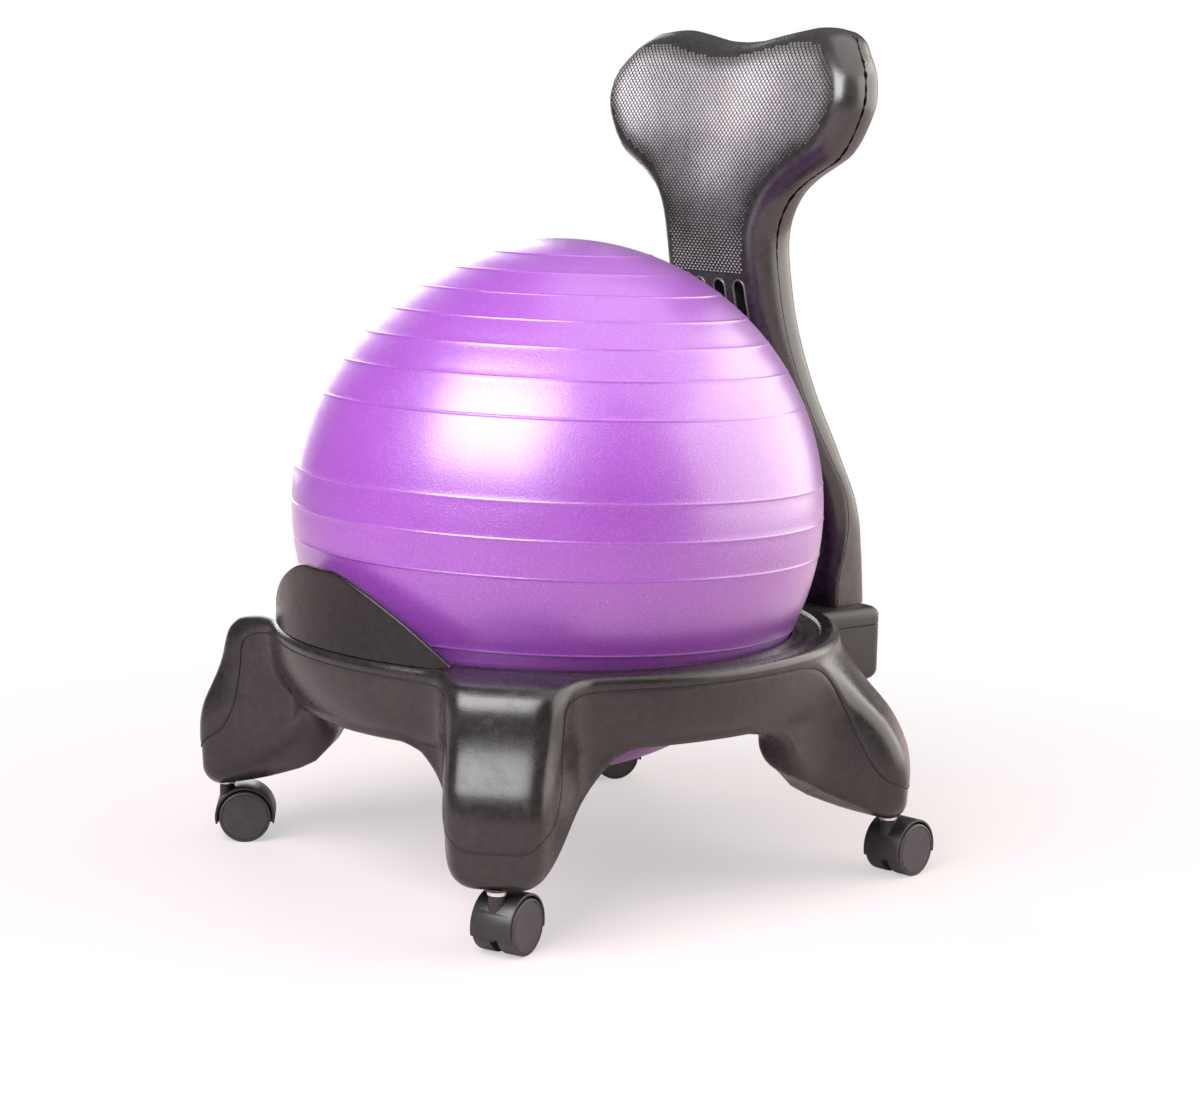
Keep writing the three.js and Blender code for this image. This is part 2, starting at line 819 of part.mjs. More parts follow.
function frontGuard() {
  const positions = [];
  const indices = [];
  const stations = guardStations;
  const levels = guardLevelShares;
  const bottom = rimHeight + fit;
  const ring = levels.length * 2;
  for (let i = 0; i <= stations; i += 1) {
    const share = (2 * i) / stations - 1;
    const angle = -quarterTurn + share * guardHalfAngle;
    const rise = (guardTop - bottom) * lookUp(guardHeightShares, Math.abs(share));
    const place = (level, inner) => {
      const height = bottom + rise * level;
      const leaned = guardRadius + guardLean * ((height - bottom) / (guardTop - bottom)) ** 2;
      const innerRadius = Math.max(leaned - guardThickness, ballRadiusAt(height, ballClearance));
      const radius = inner ? innerRadius : leaned;
      positions.push(radius * Math.cos(angle), radius * Math.sin(angle), height);
    };
    for (const level of levels) place(level, false);
    for (const level of [...levels].reverse()) place(level, true);
  }
  for (let i = 0; i < stations; i += 1) {
    for (let j = 0; j < ring; j += 1) {
      const k = (j + 1) % ring;
      const a = i * ring + j;
      const b = (i + 1) * ring + j;
      const c = (i + 1) * ring + k;
      const d = i * ring + k;
      indices.push(a, b, c, a, c, d);
    }
  }
  for (let j = 1; j + 1 < ring; j += 1) {
    indices.push(0, j, j + 1);
    const end = stations * ring;
    indices.push(end, end + j + 1, end + j);
  }
  const geometry = new THREE.BufferGeometry();
  geometry.setAttribute('position', new THREE.Float32BufferAttribute(positions, 3));
  geometry.setIndex(indices);
  let guard = toSolid(geometry);
  for (const angle of tongueAngles) {
    const around = ringRadius + overrun;
    const below = toSolid(block(-around, around, -around, around, 0, bottom + fit));
    guard = guard.add(tongueSolid(angle, 0).intersect(below));
  }
  return guard;
}

// Ball and plug

function ballProfile() {
  const point = (latitude, rise) => ({ latitude, rise });
  const half = ballRibWidth / 2 / ballRadius / degree;
  const rows = lowerBallLatitudes.map((latitude) => point(latitude, 0));
  ballRibLatitudes.forEach((latitude, i) => {
    rows.push(point(latitude - half, 0), point(latitude, ballRibRise), point(latitude + half, 0));
    const next = ballRibLatitudes[i + 1];
    if (next - latitude > widestBallBand) rows.push(point((latitude + next) / 2, 0));
  });
  return [...rows, ...upperBallLatitudes.map((latitude) => point(latitude, 0))];
}

// Turned ball about the middle of the ball, poles closed.
function ballBody(rows, radius) {
  const points = rows.map(({ latitude, rise }) => {
    const angle = latitude * degree;
    return [(radius + rise) * Math.cos(angle), (radius + rise) * Math.sin(angle)];
  });
  const solid = toSolid(turned([[0, -radius], ...points, [0, radius]], ballSides));
  return solid.rotate([-ballTilt, 0, 0]).translate([0, 0, ballCentre]);
}

function ballSkin() {
  const rows = ballProfile();
  const insideRows = rows.filter(({ rise }, i) => rise === 0 && (i === 0 || rows[i - 1].rise === 0));
  const bottom = ballCentre - ballRadius;
  const collarTop = bottom + ballWall + valveCollarRise;
  const collar = toSolid(post(valveCollarRadius, bottom - overrun, collarTop));
  const air = ballBody(insideRows, ballRadius - ballWall).subtract(collar);
  const bore = toSolid(post(valveBoreRadius, bottom - overrun, collarTop + overrun));
  return ballBody(rows, ballRadius).subtract(air).subtract(bore);
}

function valvePlug() {
  const bottom = ballCentre - ballRadius - fit;
  const stem = valveBoreRadius - fit;
  return turned(
    [
      [0, bottom - plugHeadThickness],
      [plugHeadRadius, bottom - plugHeadThickness],
      [plugHeadRadius, bottom],
      [stem, bottom],
      [stem, bottom + plugReach],
      [0, bottom + plugReach],
    ],
    plugSides,
  );
}

// Back shells with their slots and screw bosses

function slotSolid(x) {
  const radius = slotWidth / 2;
  const outline = new THREE.Shape();
  outline.moveTo(-radius, slotBottom + radius);
  outline.absarc(0, slotBottom + radius, radius, Math.PI, 2 * Math.PI);
  outline.lineTo(radius, slotTop - radius);
  outline.absarc(0, slotTop - radius, radius, 0, Math.PI);
  outline.closePath();
  const depth = columnReach;
  const options = { depth, bevelEnabled: false, curveSegments: cornerSteps };
  const geometry = new THREE.ExtrudeGeometry(outline, options);
  geometry.rotateX(quarterTurn);
  geometry.translate(x, seamDepth(slotTop), 0);
  return toSolid(geometry);
}

const spineStandOff = spineThickness / 2 + screwBossStandOff;

function screwSeat(screw) {
  return rearDepth(screw.z) - shellScrewRecess;
}

function screwTip(screw) {
  return frontDepth(screw.x, screw.z) + shellWall + fit;
}

function backFrontShell() {
  let shell = backShell(0, frontDepth, edgeRound);
  for (const screw of shellScrews) {
    const meeting = screw.inSpine ? spineDepth(screw.z) - spineStandOff : seamDepth(screw.z);
    const front = frontDepth(screw.x, screw.z) + shellWall / 2;
    if (meeting > front + fit) {
      shell = shell.add(toSolid(dowel(screwBossRadius, front, meeting, screw.x, screw.z)));
    }
    const tip = screwTip(screw) - fit;
    shell = shell.subtract(
      toSolid(dowel(shellScrewRadius + fit, tip, rearDepth(screw.z), screw.x, screw.z)),
    );
  }
  for (let i = 0; i < slotCount; i += 1) {
    shell = shell.subtract(slotSolid((i - (slotCount - 1) / 2) * slotPitch));
  }
  return shell;
}

function backRearShell() {
  let shell = backShell(seamGap, (x, height) => rearDepth(height), rearEdgeRound);
  for (const screw of shellScrews) {
    const meeting = screw.inSpine
      ? spineDepth(screw.z) + spineStandOff
      : seamDepth(screw.z) + seamGap;
    const rear = rearDepth(screw.z) - shellWall / 2;
    const seat = screwSeat(screw);
    if (meeting < rear - fit) {
      shell = shell.add(toSolid(dowel(screwBossRadius, meeting, rear, screw.x, screw.z)));
    }
    const front = frontDepth(0, screw.z);
    const bore = toSolid(dowel(shellScrewRadius + fit, front, boxRear, screw.x, screw.z));
    const sink = toSolid(dowel(shellScrewHeadRadius + fit, seat, boxRear + overrun, screw.x, screw.z));
    shell = shell.subtract(bore).subtract(sink);
  }
  return shell;
}

function shellScrew(screw) {
  const seat = screwSeat(screw) + fit;
  const middle = seat + shellScrewHeadHeight / 2;
  const top = seat + shellScrewHeadHeight;
  const shaft = toSolid(dowel(shellScrewRadius, screwTip(screw), middle, screw.x, screw.z));
  const head = toSolid(dowel(shellScrewHeadRadius, seat, top, screw.x, screw.z));
  return shaft.add(head);
}

function backSpine() {
  const centre = [];
  for (let i = 0; i <= spineSteps; i += 1) {
    const height = mix(footHeight, spineTop, i / spineSteps);
    centre.push([spineDepth(height), height]);
  }
  centre.unshift([spineDepth(footHeight), spineFoot]);
  const offset = (side) =>
    centre.map(([y, z], i) => {
      const before = centre[Math.max(i - 1, 0)];
      const after = centre[Math.min(i + 1, centre.length - 1)];
      const dy = after[0] - before[0];
      const dz = after[1] - before[1];
      const length = Math.hypot(dy, dz);
      const half = (side * spineThickness) / 2;
      const flat = i < 2;
      const across = flat ? half : (half * dz) / length;
      const down = flat ? 0 : (half * dy) / length;
      return new THREE.Vector2(y + across, z - down);
    });
  const outline = new THREE.Shape([...offset(1), ...offset(-1).reverse()]);
  const depth = 2 * spineHalfWidth;
  const geometry = new THREE.ExtrudeGeometry(outline, { depth, bevelEnabled: false });
  geometry.applyMatrix4(acrossAxle);
  geometry.translate(-spineHalfWidth, 0, 0);
  let spine = toSolid(geometry);
  for (const screw of shellScrews.filter((one) => one.inSpine)) {
    const y = spineDepth(screw.z);
    const reach = spineThickness + overrun;
    spine = spine.subtract(toSolid(dowel(shellScrewRadius + fit, y - reach, y + reach, screw.x, screw.z)));
  }
  for (const side of [-1, 1]) {
    const y = spineDepth(footHeight);
    const reach = spineThickness + overrun;
    const x = side * columnBoltOffset;
    const bore = dowel(columnBoltRadius + fit, y - reach, y + reach, x, columnBoltHeight);
    spine = spine.subtract(toSolid(bore));
  }
  return spine;
}

function columnBolt(x) {
  const seat = boltSeat + columnWasherThickness + 2 * fit;
  const middle = seat + columnBoltHeadHeight / 2;
  const top = seat + columnBoltHeadHeight;
  const shaft = toSolid(dowel(columnBoltRadius, boltTip, middle, x, columnBoltHeight));
  const head = toSolid(dowel(columnBoltHeadRadius, seat, top, x, columnBoltHeight, hexagonSides));
  return shaft.add(head);
}

function columnWasher(x) {
  const front = boltSeat + fit;
  const rear = front + columnWasherThickness;
  const disc = toSolid(dowel(columnWasherRadius, front, rear, x, columnBoltHeight, washerSides));
  const hole = dowel(columnBoltRadius + fit, front - overrun, rear + overrun, x, columnBoltHeight);
  return disc.subtract(toSolid(hole));
}

// Casters, drawn with the stem on Z, the axle along X and the wheels trailing towards +Y

function alongAxle(radius, from, to, sides = axleSides) {
  const geometry = new THREE.CylinderGeometry(radius, radius, to - from, sides);
  geometry.rotateZ(quarterTurn);
  geometry.translate((from + to) / 2, casterTrail, wheelRadius);
  return geometry;
}

// Axes that stand an extruded outline up across the axle.
const acrossAxle = new THREE.Matrix4().makeBasis(
  new THREE.Vector3(0, 1, 0),
  new THREE.Vector3(0, 0, 1),
  new THREE.Vector3(1, 0, 0),
);

// Rim of the hood over both wheels, as an arc round the axle.
function hoodBand() {
  const start = hoodStartAngle * degree;
  const end = hoodEndAngle * degree;
  const outline = new THREE.Shape();
  outline.absarc(0, 0, hoodRadius, start, end);
  outline.absarc(0, 0, hoodRadius - hoodWall, end, start, true);
  outline.closePath();
  const halfWidth = wheelOuter - hoodLip;
  const options = { depth: 2 * halfWidth, bevelEnabled: false, curveSegments: hoodArcSteps };
  const band = new THREE.ExtrudeGeometry(outline, options);
  band.applyMatrix4(acrossAxle);
  band.translate(-halfWidth, casterTrail, wheelRadius);
  return toSolid(band);
}

function casterHood() {
  const web = toSolid(alongAxle(hoodRadius - hoodWall / 2, -hoodWeb / 2, hoodWeb / 2, webSides));
  const reach = hoodRadius + casterTrail + overrun;
  const below = toSolid(block(-reach, reach, -reach, reach, -reach, wheelRadius - webDrop));
  const boss = toSolid(post(swivelBossRadius, wheelRadius, swivelBossTop));
  let hood = web.subtract(below).add(hoodBand()).add(boss);
  for (const side of [-1, 1]) {
    const ends = [side * (hoodWeb / 2), side * reach].sort((a, b) => a - b);
    hood = hood.subtract(toSolid(alongAxle(wheelRadius + wheelRoom, ends[0], ends[1], hoodRoomSides)));
  }
  hood = hood.subtract(toSolid(post(stemRadius + fit, stemFoot - fit, swivelBossTop + overrun)));
  return hood.subtract(toSolid(alongAxle(axleRadius + fit, -reach, reach)));
}

function casterWheel(side) {
  const rim = wheelRadius / Math.cos(Math.PI / wheelSides);
  const points = [
    [0, wheelOuter],
    [rim - wheelFaceRound * 2, wheelOuter],
    [rim, wheelOuter - wheelFaceRound],
    [rim, wheelInner],
    [axleRadius + fit, wheelInner],
    [axleRadius + fit, axleHalfLength + fit],
    [0, axleHalfLength + fit],
  ];
  const profile = points.map(([radius, along]) => new THREE.Vector2(radius, -along));
  const geometry = new THREE.LatheGeometry(profile, wheelSides);
  geometry.rotateY(Math.PI / wheelSides);
  geometry.rotateZ(side > 0 ? quarterTurn : -quarterTurn);
  geometry.translate(0, casterTrail, wheelRadius);
  return geometry;
}

function casterStem() {
  return turned(
    [
      [0, stemFoot],
      [stemRadius, stemFoot],
      [stemRadius, collarFoot],
      [stemCollarRadius, collarFoot],
      [stemCollarRadius, collarFoot + stemCollarHeight],
      [stemRadius, collarFoot + stemCollarHeight],
      [stemRadius, stemTop - 2 * stemGripRadius],
      [stemGripRadius, stemTop - stemGripRadius],
      [stemRadius, stemTop],
      [0, stemTop],
    ],
    stemSides,
  );
}

function casterSocket() {
  const bottom = stemHeight + fit;
  const shoulder = bottom + socketFlangeThickness;
  const bore = stemGripRadius + fit;
  const top = stemHeight + socketBossHeight;
  return turned(
    [
      [bore, bottom],
      [socketFlangeRadius, bottom],
      [socketFlangeRadius, shoulder],
      [socketRadius, shoulder],
      [socketRadius, top],
      [bore, top],
      [bore, bottom],
    ],
    socketSides,
  );
}

// Assembly

addPart(chair, 'base_moulding', baseMoulding(), 'mouldedBlack');
addPart(chair, 'front_guard', frontGuard(), 'guardBlack');
addPart(chair, 'ball_skin', ballSkin(), 'ballPurple');
addPart(chair, 'valve_plug', valvePlug(), 'plugPurple');
addPart(chair, 'back_front_shell', backFrontShell(), 'backBlack');
addPart(chair, 'back_rear_shell', backRearShell(), 'backBlack');
addPart(chair, 'back_spine', backSpine(), 'paintedSteel');
shellScrews.forEach((screw, i) => {
  addPart(chair, `shell_screw_${i + 1}`, shellScrew(screw), 'zincSteel');
});
for (const [side, x] of [['right', -columnBoltOffset], ['left', columnBoltOffset]]) {
  addPart(chair, `column_bolt_${side}`, columnBolt(x), 'zincSteel');
  addPart(chair, `column_washer_${side}`, columnWasher(x), 'zincSteel');
}
for (const caster of casters) {
  const mount = new THREE.Group();
  mount.position.set(caster.x * casterPlace, caster.y * casterPlace, 0);
  chair.add(mount);
  addPart(mount, `${caster.name}_stem`, casterStem(), 'zincSteel');
  addPart(mount, `${caster.name}_socket`, casterSocket(), 'socketNylon');
  const swivel = new THREE.Group();
  swivel.rotation.z = caster.heading * degree;
  mount.add(swivel);
  addPart(swivel, `${caster.name}_hood`, casterHood(), 'casterBlack');
  const axle = alongAxle(axleRadius, -axleHalfLength, axleHalfLength);
  addPart(swivel, `${caster.name}_axle`, axle, 'zincSteel');
  addPart(swivel, `${caster.name}_outer_wheel`, casterWheel(1), 'tyreBlack');
  addPart(swivel, `${caster.name}_inner_wheel`, casterWheel(-1), 'tyreBlack');
}

// The origin lies on the floor under the middle of the chair.
const extent = new THREE.Box3().setFromObject(chair);
chair.position.set(-(extent.min.x + extent.max.x) / 2, -(extent.min.y + extent.max.y) / 2, 0);

export default chair;
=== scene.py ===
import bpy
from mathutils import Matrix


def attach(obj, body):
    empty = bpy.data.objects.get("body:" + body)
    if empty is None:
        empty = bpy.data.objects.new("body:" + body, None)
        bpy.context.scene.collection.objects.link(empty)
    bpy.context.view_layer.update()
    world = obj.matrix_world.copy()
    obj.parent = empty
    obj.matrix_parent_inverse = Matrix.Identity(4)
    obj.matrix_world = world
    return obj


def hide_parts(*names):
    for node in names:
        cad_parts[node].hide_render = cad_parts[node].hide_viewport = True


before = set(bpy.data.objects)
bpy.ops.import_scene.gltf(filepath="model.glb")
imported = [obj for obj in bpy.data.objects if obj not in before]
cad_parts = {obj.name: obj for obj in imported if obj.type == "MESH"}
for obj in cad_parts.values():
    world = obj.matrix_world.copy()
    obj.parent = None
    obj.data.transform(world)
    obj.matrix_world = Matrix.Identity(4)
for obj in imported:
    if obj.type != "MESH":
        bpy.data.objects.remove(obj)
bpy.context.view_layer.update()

import math

import bmesh
import bpy
import numpy as np
from mathutils import Matrix, Vector

# Base moulding.
# One blow-moulded shell of black polyethylene: a dished ring that the ball sits in, four flared
# legs, and side panels between them that are set in behind a fine crease. Lengths in millimetres.
MILLIMETRE = 0.001
MIDDLE_Y = -34.989
BALL_RADIUS = 249.7
BALL_ROOM = 3.5
SEAT_RADIUS = 222.98
SEAT_HEIGHT = 229.0
BALL_CENTRE = SEAT_HEIGHT + math.sqrt(BALL_RADIUS**2 - SEAT_RADIUS**2)
LIP_ROOM = 0.7
LIP_ROUND = 2.0
LIP_DEPTH = 3.0
GUTTER_DEPTH = 3.5
GUTTER_MARGIN = 0.6
RIM_HEIGHT = 232.0
RIM_WALL = 250.4
RIM_WALL_ROUND = 1.6
RIM_ROUND = 7.0
RING_RADIUS = 266.48
APRON_ROOT = 229.0
SIDE_ARCH = 165.0
FRONT_ARCH = 157.0
SIDE_TUCK = 17.0
FRONT_TUCK = 26.0
REAR_TUCK_SHARE = 0.4
ARCH_EDGE_ROUND = 8.0
LEG_EDGE_ROUND = 20.0
LEG_ROOT = 206.0
LEG_HALF_WIDTH = 54.0
FOOT_NARROWING = 0.2
NARROWING_END = 0.4
STEM_OUT = 320.48
STEM_HEIGHT = 58.6
STEM_PLACE = STEM_OUT * math.sqrt(0.5)
UNDERSIDE_RISE = 52.0
EIGHTH_TURN = math.pi / 4
# Turns off a leg's middle over which the underside rises beside a front leg, and over which the
# ring beside a rear leg comes to tuck in fully.
FRONT_FLANK = (math.radians(3), math.radians(26))
REAR_TUCK_TURNS = (0.3, 0.75)
# Powers: the higher, the squarer the leg and the tighter its fillet to the ring.
LEG_SQUARENESS = 7
FRONT_FILLET = 8
REAR_FILLET = 4.5
# How far out the face of a leg stands on its middle line, at heights from the foot to the rim.
FRONT_LEG = [
    (58.6, 334.7), (71, 337.9), (95, 339.6), (118, 340), (130, 338.8), (142, 335.8), (154, 330.7),
    (166, 325.3), (178, 320.5), (190, 317), (202, 314.6), (211, 312.3), (219, 308.5), (225, 303),
    (229, 297), (232, 287),
]
REAR_LEG = [
    (58.6, 333.6), (70.7, 337.6), (103.7, 339), (129.7, 332.5), (155.7, 318), (183.4, 293.5),
    (205, 277.5), (218, 270.6), (232, 268.3),
]
# How far the underside of a leg has risen, as shares, from the stem inwards.
UNDERSIDE = [(0, 0), (0.3, 0.12), (0.55, 0.27), (0.8, 0.5), (1, 1)]
# How far the underside has risen from a rear leg to the arch, at degrees from the leg's middle.
REAR_FLANK = [
    (3, 0), (6, 0.05), (10, 0.16), (15, 0.29), (19.5, 0.4), (23, 0.56), (26, 0.78), (29, 0.89),
    (33, 0.95), (38, 1),
]
# How far out the crease runs along the side of a leg, at heights from the foot to the rim.
FRONT_CREASE = [
    (86, 352), (91, 342), (95, 339.5), (102, 336), (107, 331), (112, 324), (118, 315.5),
    (128, 308.5), (144, 301), (160, 298), (178, 295), (194, 294), (206, 292), (211, 288),
    (215, 281), (218, 270), (220, 256), (222, 240),
]
REAR_CREASE = [
    (84, 352), (90, 341), (94, 337), (98.6, 331), (102, 322.5), (108.7, 314), (121, 304.3),
    (135, 296.6), (150, 289), (167, 281.3), (182, 274.6), (197, 267.5), (208.7, 260), (216, 252),
    (219.5, 243), (222, 230),
]
APRON_CREASE = 220.5
CREASE_CORNER = 2.0
CREASE_DEPTH = 0.6
CREASE_WIDTH = 1.6
PANEL_DEPTH = 1.0
PANEL_EDGE = 2.2
FAR_FROM_CREASE = 30


def look_up(table, position):
    """Smooth curve through rows of (place, value), level beyond both ends."""
    places, values = np.array(table, float).T
    last = len(table) - 1
    after = np.minimum(np.arange(last + 1) + 1, last)
    before = np.maximum(np.arange(last + 1) - 1, 0)
    slopes = (values[after] - values[before]) / (places[after] - places[before])
    x = np.clip(position, places[0], places[-1])
    row = np.clip(np.searchsorted(places, x, side="left") - 1, 0, last - 1)
    span = places[row + 1] - places[row]
    t = (x - places[row]) / span
    rise = values[row + 1] - values[row]
    bend = (1 - t) * (slopes[row] * span - rise) - t * (slopes[row + 1] * span - rise)
    return values[row] + t * rise + t * (1 - t) * bend


def mix(a, b, share):
    return a + (b - a) * share


def smooth(value, start, end):
    t = np.clip((value - start) / (end - start), 0, 1)
    return t * t * (3 - 2 * t)


def ball_radius_at(height):
    """Radius at a height of the room that the ball needs to turn in."""
    reach = (BALL_RADIUS + BALL_ROOM) ** 2 - (height - BALL_CENTRE) ** 2
    return np.sqrt(np.maximum(reach, 0))


def in_front(angle):
    return np.sin(angle) < 0


def front_share(angle):
    """One in the middle of the front, nought from the sides to the rear."""
    return np.maximum(-np.sin(angle), 0) ** 2


def off_leg(angle):
    """Turn from the middle of the nearest leg."""
    return np.abs((angle + 2 * math.pi) % (math.pi / 2) - EIGHTH_TURN)


def arch_height(angle):
    return mix(SIDE_ARCH, FRONT_ARCH, front_share(angle))


def flank(angle):
    """Nought under a leg, one where the arch between two legs is at full height."""
    off = off_leg(angle)
    rear = look_up(REAR_FLANK, np.degrees(off))
    return np.where(in_front(angle), smooth(off, *FRONT_FLANK), rear)


def outer_radius(angle, height):
    """How far out the outer skin stands: the ring, with a leg at each odd eighth of a turn."""
    front, off = in_front(angle), off_leg(angle)
    share = (height - STEM_HEIGHT) / (RIM_HEIGHT - STEM_HEIGHT)
    face = np.where(front, look_up(FRONT_LEG, height), look_up(REAR_LEG, height))
    half = LEG_HALF_WIDTH * (1 - FOOT_NARROWING * np.maximum(1 - share / NARROWING_END, 0) ** 2)
    drop = np.clip((RIM_HEIGHT - height) / (RIM_HEIGHT - arch_height(angle)), 0, 1)
    rear_tuck = mix(REAR_TUCK_SHARE, 1, smooth(off, *REAR_TUCK_TURNS))
    tuck = mix(SIDE_TUCK, FRONT_TUCK, front_share(angle)) * np.where(front, 1, rear_tuck)
    ring = RING_RADIUS - tuck * drop**3
    fillet = np.where(front, FRONT_FILLET, REAR_FILLET)
    reach = np.maximum(face**fillet - ring**fillet, 1) ** (1 / fillet)
    leg = (np.cos(off) / reach) ** LEG_SQUARENESS + (np.sin(off) / half) ** LEG_SQUARENESS
    return (leg ** (-fillet / LEG_SQUARENESS) + ring**fillet) ** (1 / fillet)


def underside(angle, radius):
    inward = (STEM_OUT - radius) / (STEM_OUT - LEG_ROOT)
    leg = STEM_HEIGHT + UNDERSIDE_RISE * look_up(UNDERSIDE, inward)
    return mix(leg, arch_height(angle), flank(angle))


def crease_slope(table, height):
    """Change of the crease's reach over a millimetre of height."""
    return look_up(table, height + 0.5) - look_up(table, height - 0.5)


def crease_side(angle, radius, height):
    """Distance from the crease: positive on rim and leg fronts, negative on the side panels."""
    front = in_front(angle)
    slope = np.where(front, crease_slope(FRONT_CREASE, height), crease_slope(REAR_CREASE, height))
    along = np.where(front, look_up(FRONT_CREASE, height), look_up(REAR_CREASE, height))
    apron = height - APRON_CREASE
    leg = (radius * np.cos(off_leg(angle)) - along) / np.sqrt(1 + slope**2)
    return 0.5 * (apron + leg + np.sqrt((apron - leg) ** 2 + CREASE_CORNER**2))


def even_angles(count):
    """Angles round the base that space its sections evenly along its outline."""
    fine = np.linspace(0, 2 * math.pi, 20001)
    run = np.zeros(len(fine))
    for height in (95, 140, 190):
        radius = outer_radius(fine, np.full(len(fine), float(height)))
        x, y = radius * np.cos(fine), radius * np.sin(fine)
        run[1:] += np.cumsum(np.hypot(np.diff(x), np.diff(y)))
    return np.interp(np.arange(count) * run[-1] / count, run, fine)


def arc(count):
    return np.linspace(0, math.pi / 2, count)


def base_points(sections):
    """Rings of points of the base, from the ball's seat over the rim, down and back up inside."""
    angle = even_angles(sections)
    rows = []

    def ring(radius, height):
        whole = np.ones(sections)
        rows.append((radius * whole, height * whole))

    lip = SEAT_RADIUS + LIP_ROOM
    for turn in arc(4):
        ring(lip + LIP_ROUND * (1 - np.cos(turn)), SEAT_HEIGHT - LIP_ROUND * (1 - np.sin(turn)))
    for share in np.linspace(0, 1, 12)[1:]:
        sink = GUTTER_DEPTH * np.sin(math.pi * share) ** 2
        ring(mix(lip + LIP_ROUND, RIM_WALL - GUTTER_MARGIN, share), SEAT_HEIGHT - sink)
    for turn in arc(5):
        height = RIM_HEIGHT - RIM_WALL_ROUND * (1 - np.sin(turn))
        ring(RIM_WALL + RIM_WALL_ROUND * (1 - np.cos(turn)), height)
    ring(mix(RIM_WALL + RIM_WALL_ROUND, RING_RADIUS - RIM_ROUND, 0.5), RIM_HEIGHT)
    for turn in arc(9):
        height = np.full(sections, RIM_HEIGHT - RIM_ROUND * (1 - np.cos(turn)))
        ring(outer_radius(angle, height) - RIM_ROUND * (1 - np.sin(turn)), height)
    away = flank(angle)
    edge = mix(LEG_EDGE_ROUND, ARCH_EDGE_ROUND, away)
    # The foot of the wall stands above the underside by the round of its edge.
    floor = outer_radius(angle, arch_height(angle))
    for _ in range(6):
        floor = outer_radius(angle, underside(angle, floor) + edge)
    foot = underside(angle, floor) + edge
    first_wall = len(rows)
    for share in np.linspace(0, 1, 46)[1:]:
        height = mix(RIM_HEIGHT - RIM_ROUND, foot, share)
        ring(outer_radius(angle, height), height)
    last_wall = len(rows)
    for turn in arc(8)[1:]:
        radius = floor - edge * (1 - np.cos(turn))
        ring(radius, underside(angle, radius) + edge * (1 - np.sin(turn)))
    inner = mix(LEG_ROOT, APRON_ROOT, away)
    inner_edge = np.minimum(ARCH_EDGE_ROUND, edge)
    for share in np.linspace(0, 1, 8)[1:]:
        radius = mix(floor - edge, inner + inner_edge, share)
        ring(radius, underside(angle, radius))
    for turn in arc(5)[1:]:
        radius = inner + inner_edge * (1 - np.sin(turn))
        ring(radius, underside(angle, radius) + inner_edge * (1 - np.cos(turn)))
    wall = rows[-1][1]
    for share in np.linspace(0, 1, 8)[1:]:
        height = mix(wall, SEAT_HEIGHT - LIP_DEPTH, share)
        ring(np.maximum(mix(inner, lip, share**2), ball_radius_at(height)), height)
    radius, height = np.array(rows).transpose(1, 0, 2)
    return angle, radius, height, first_wall, last_wall


def grid_normals(points):
    """Outward directions of a grid of points that closes both ways."""
    along = np.roll(points, -1, 1) - np.roll(points, 1, 1)
    down = np.roll(points, -1, 0) - np.roll(points, 1, 0)
    cross = np.cross(down, along)
    return cross / np.maximum(np.linalg.norm(cross, axis=2, keepdims=True), 1e-9)


def grid_faces(rows, columns, close_rows, close_columns):
    r = np.arange(rows if close_rows else rows - 1)[:, None]
    c = np.arange(columns if close_columns else columns - 1)[None]
    nr, nc = (r + 1) % rows, (c + 1) % columns
    corners = [r * columns + c, r * columns + nc, nr * columns + nc, nr * columns + c]
    return np.stack([k + 0 * corners[2] for k in corners], -1).reshape(-1, 4)


def add_object(name, data):
    piece = bpy.data.objects.new(name, data)
    bpy.context.scene.collection.objects.link(piece)
    return piece


def placed(points):
    """Points in the frame's metres, from millimetres about the ball's axis."""
    return (np.asarray(points, float).reshape(-1, 3) + (0, MIDDLE_Y, 0)) * MILLIMETRE


def tidy(piece, sharp=40):
    """Merges doubles, turns the faces outwards and keeps only the real edges sharp."""
    work = bmesh.new()
    work.from_mesh(piece.data)
    bmesh.ops.remove_doubles(work, verts=work.verts, dist=1e-6)
    bmesh.ops.recalc_face_normals(work, faces=work.faces)
    work.to_mesh(piece.data)
    work.free()
    piece.data.shade_smooth()
    piece.data.set_sharp_from_angle(angle=math.radians(sharp))
    return piece


def shell_mesh(name, points, faces, sharp=40, fields=None):
    """Object of one closed skin, from points in millimetres about the ball's axis."""
    mesh = bpy.data.meshes.new(name)
    mesh.from_pydata(placed(points).tolist(), [], [list(map(int, face)) for face in faces])
    for field, values in (fields or {}).items():
        layer = mesh.attributes.new(field, "FLOAT", "POINT")
        layer.data.foreach_set("value", np.asarray(values, np.float32).ravel())
    return tidy(add_object(name, mesh), sharp)


def baked_mesh(piece):
    """What a piece's modifiers make of it."""
    return bpy.data.meshes.new_from_object(
        piece.evaluated_get(bpy.context.evaluated_depsgraph_get())
    )


def cut(piece, tools, operation="DIFFERENCE"):
    """Applies one exact cut or join for each tool, and removes the tools."""
    for tool in tools:
        step = piece.modifiers.new("cut", "BOOLEAN")
        step.operation = operation
        step.solver = "EXACT"
        step.object = tool
    flat = baked_mesh(piece)
    piece.modifiers.clear()
    piece.data = flat
    for tool in tools:
        bpy.data.objects.remove(tool)
    return tidy(piece)


def turned(name, profile, segments=48, centre=(0, 0)):
    """Solid of revolution about an upright line, from (radius, height) points."""
    points = [
        (r * math.cos(a) + centre[0], r * math.sin(a) + centre[1], z)
        for r, z in profile
        for a in np.linspace(0, 2 * math.pi, segments, endpoint=False)
    ]
    closed = profile[0][0] > 0
    return shell_mesh(name, points, grid_faces(len(profile), segments, closed, True))


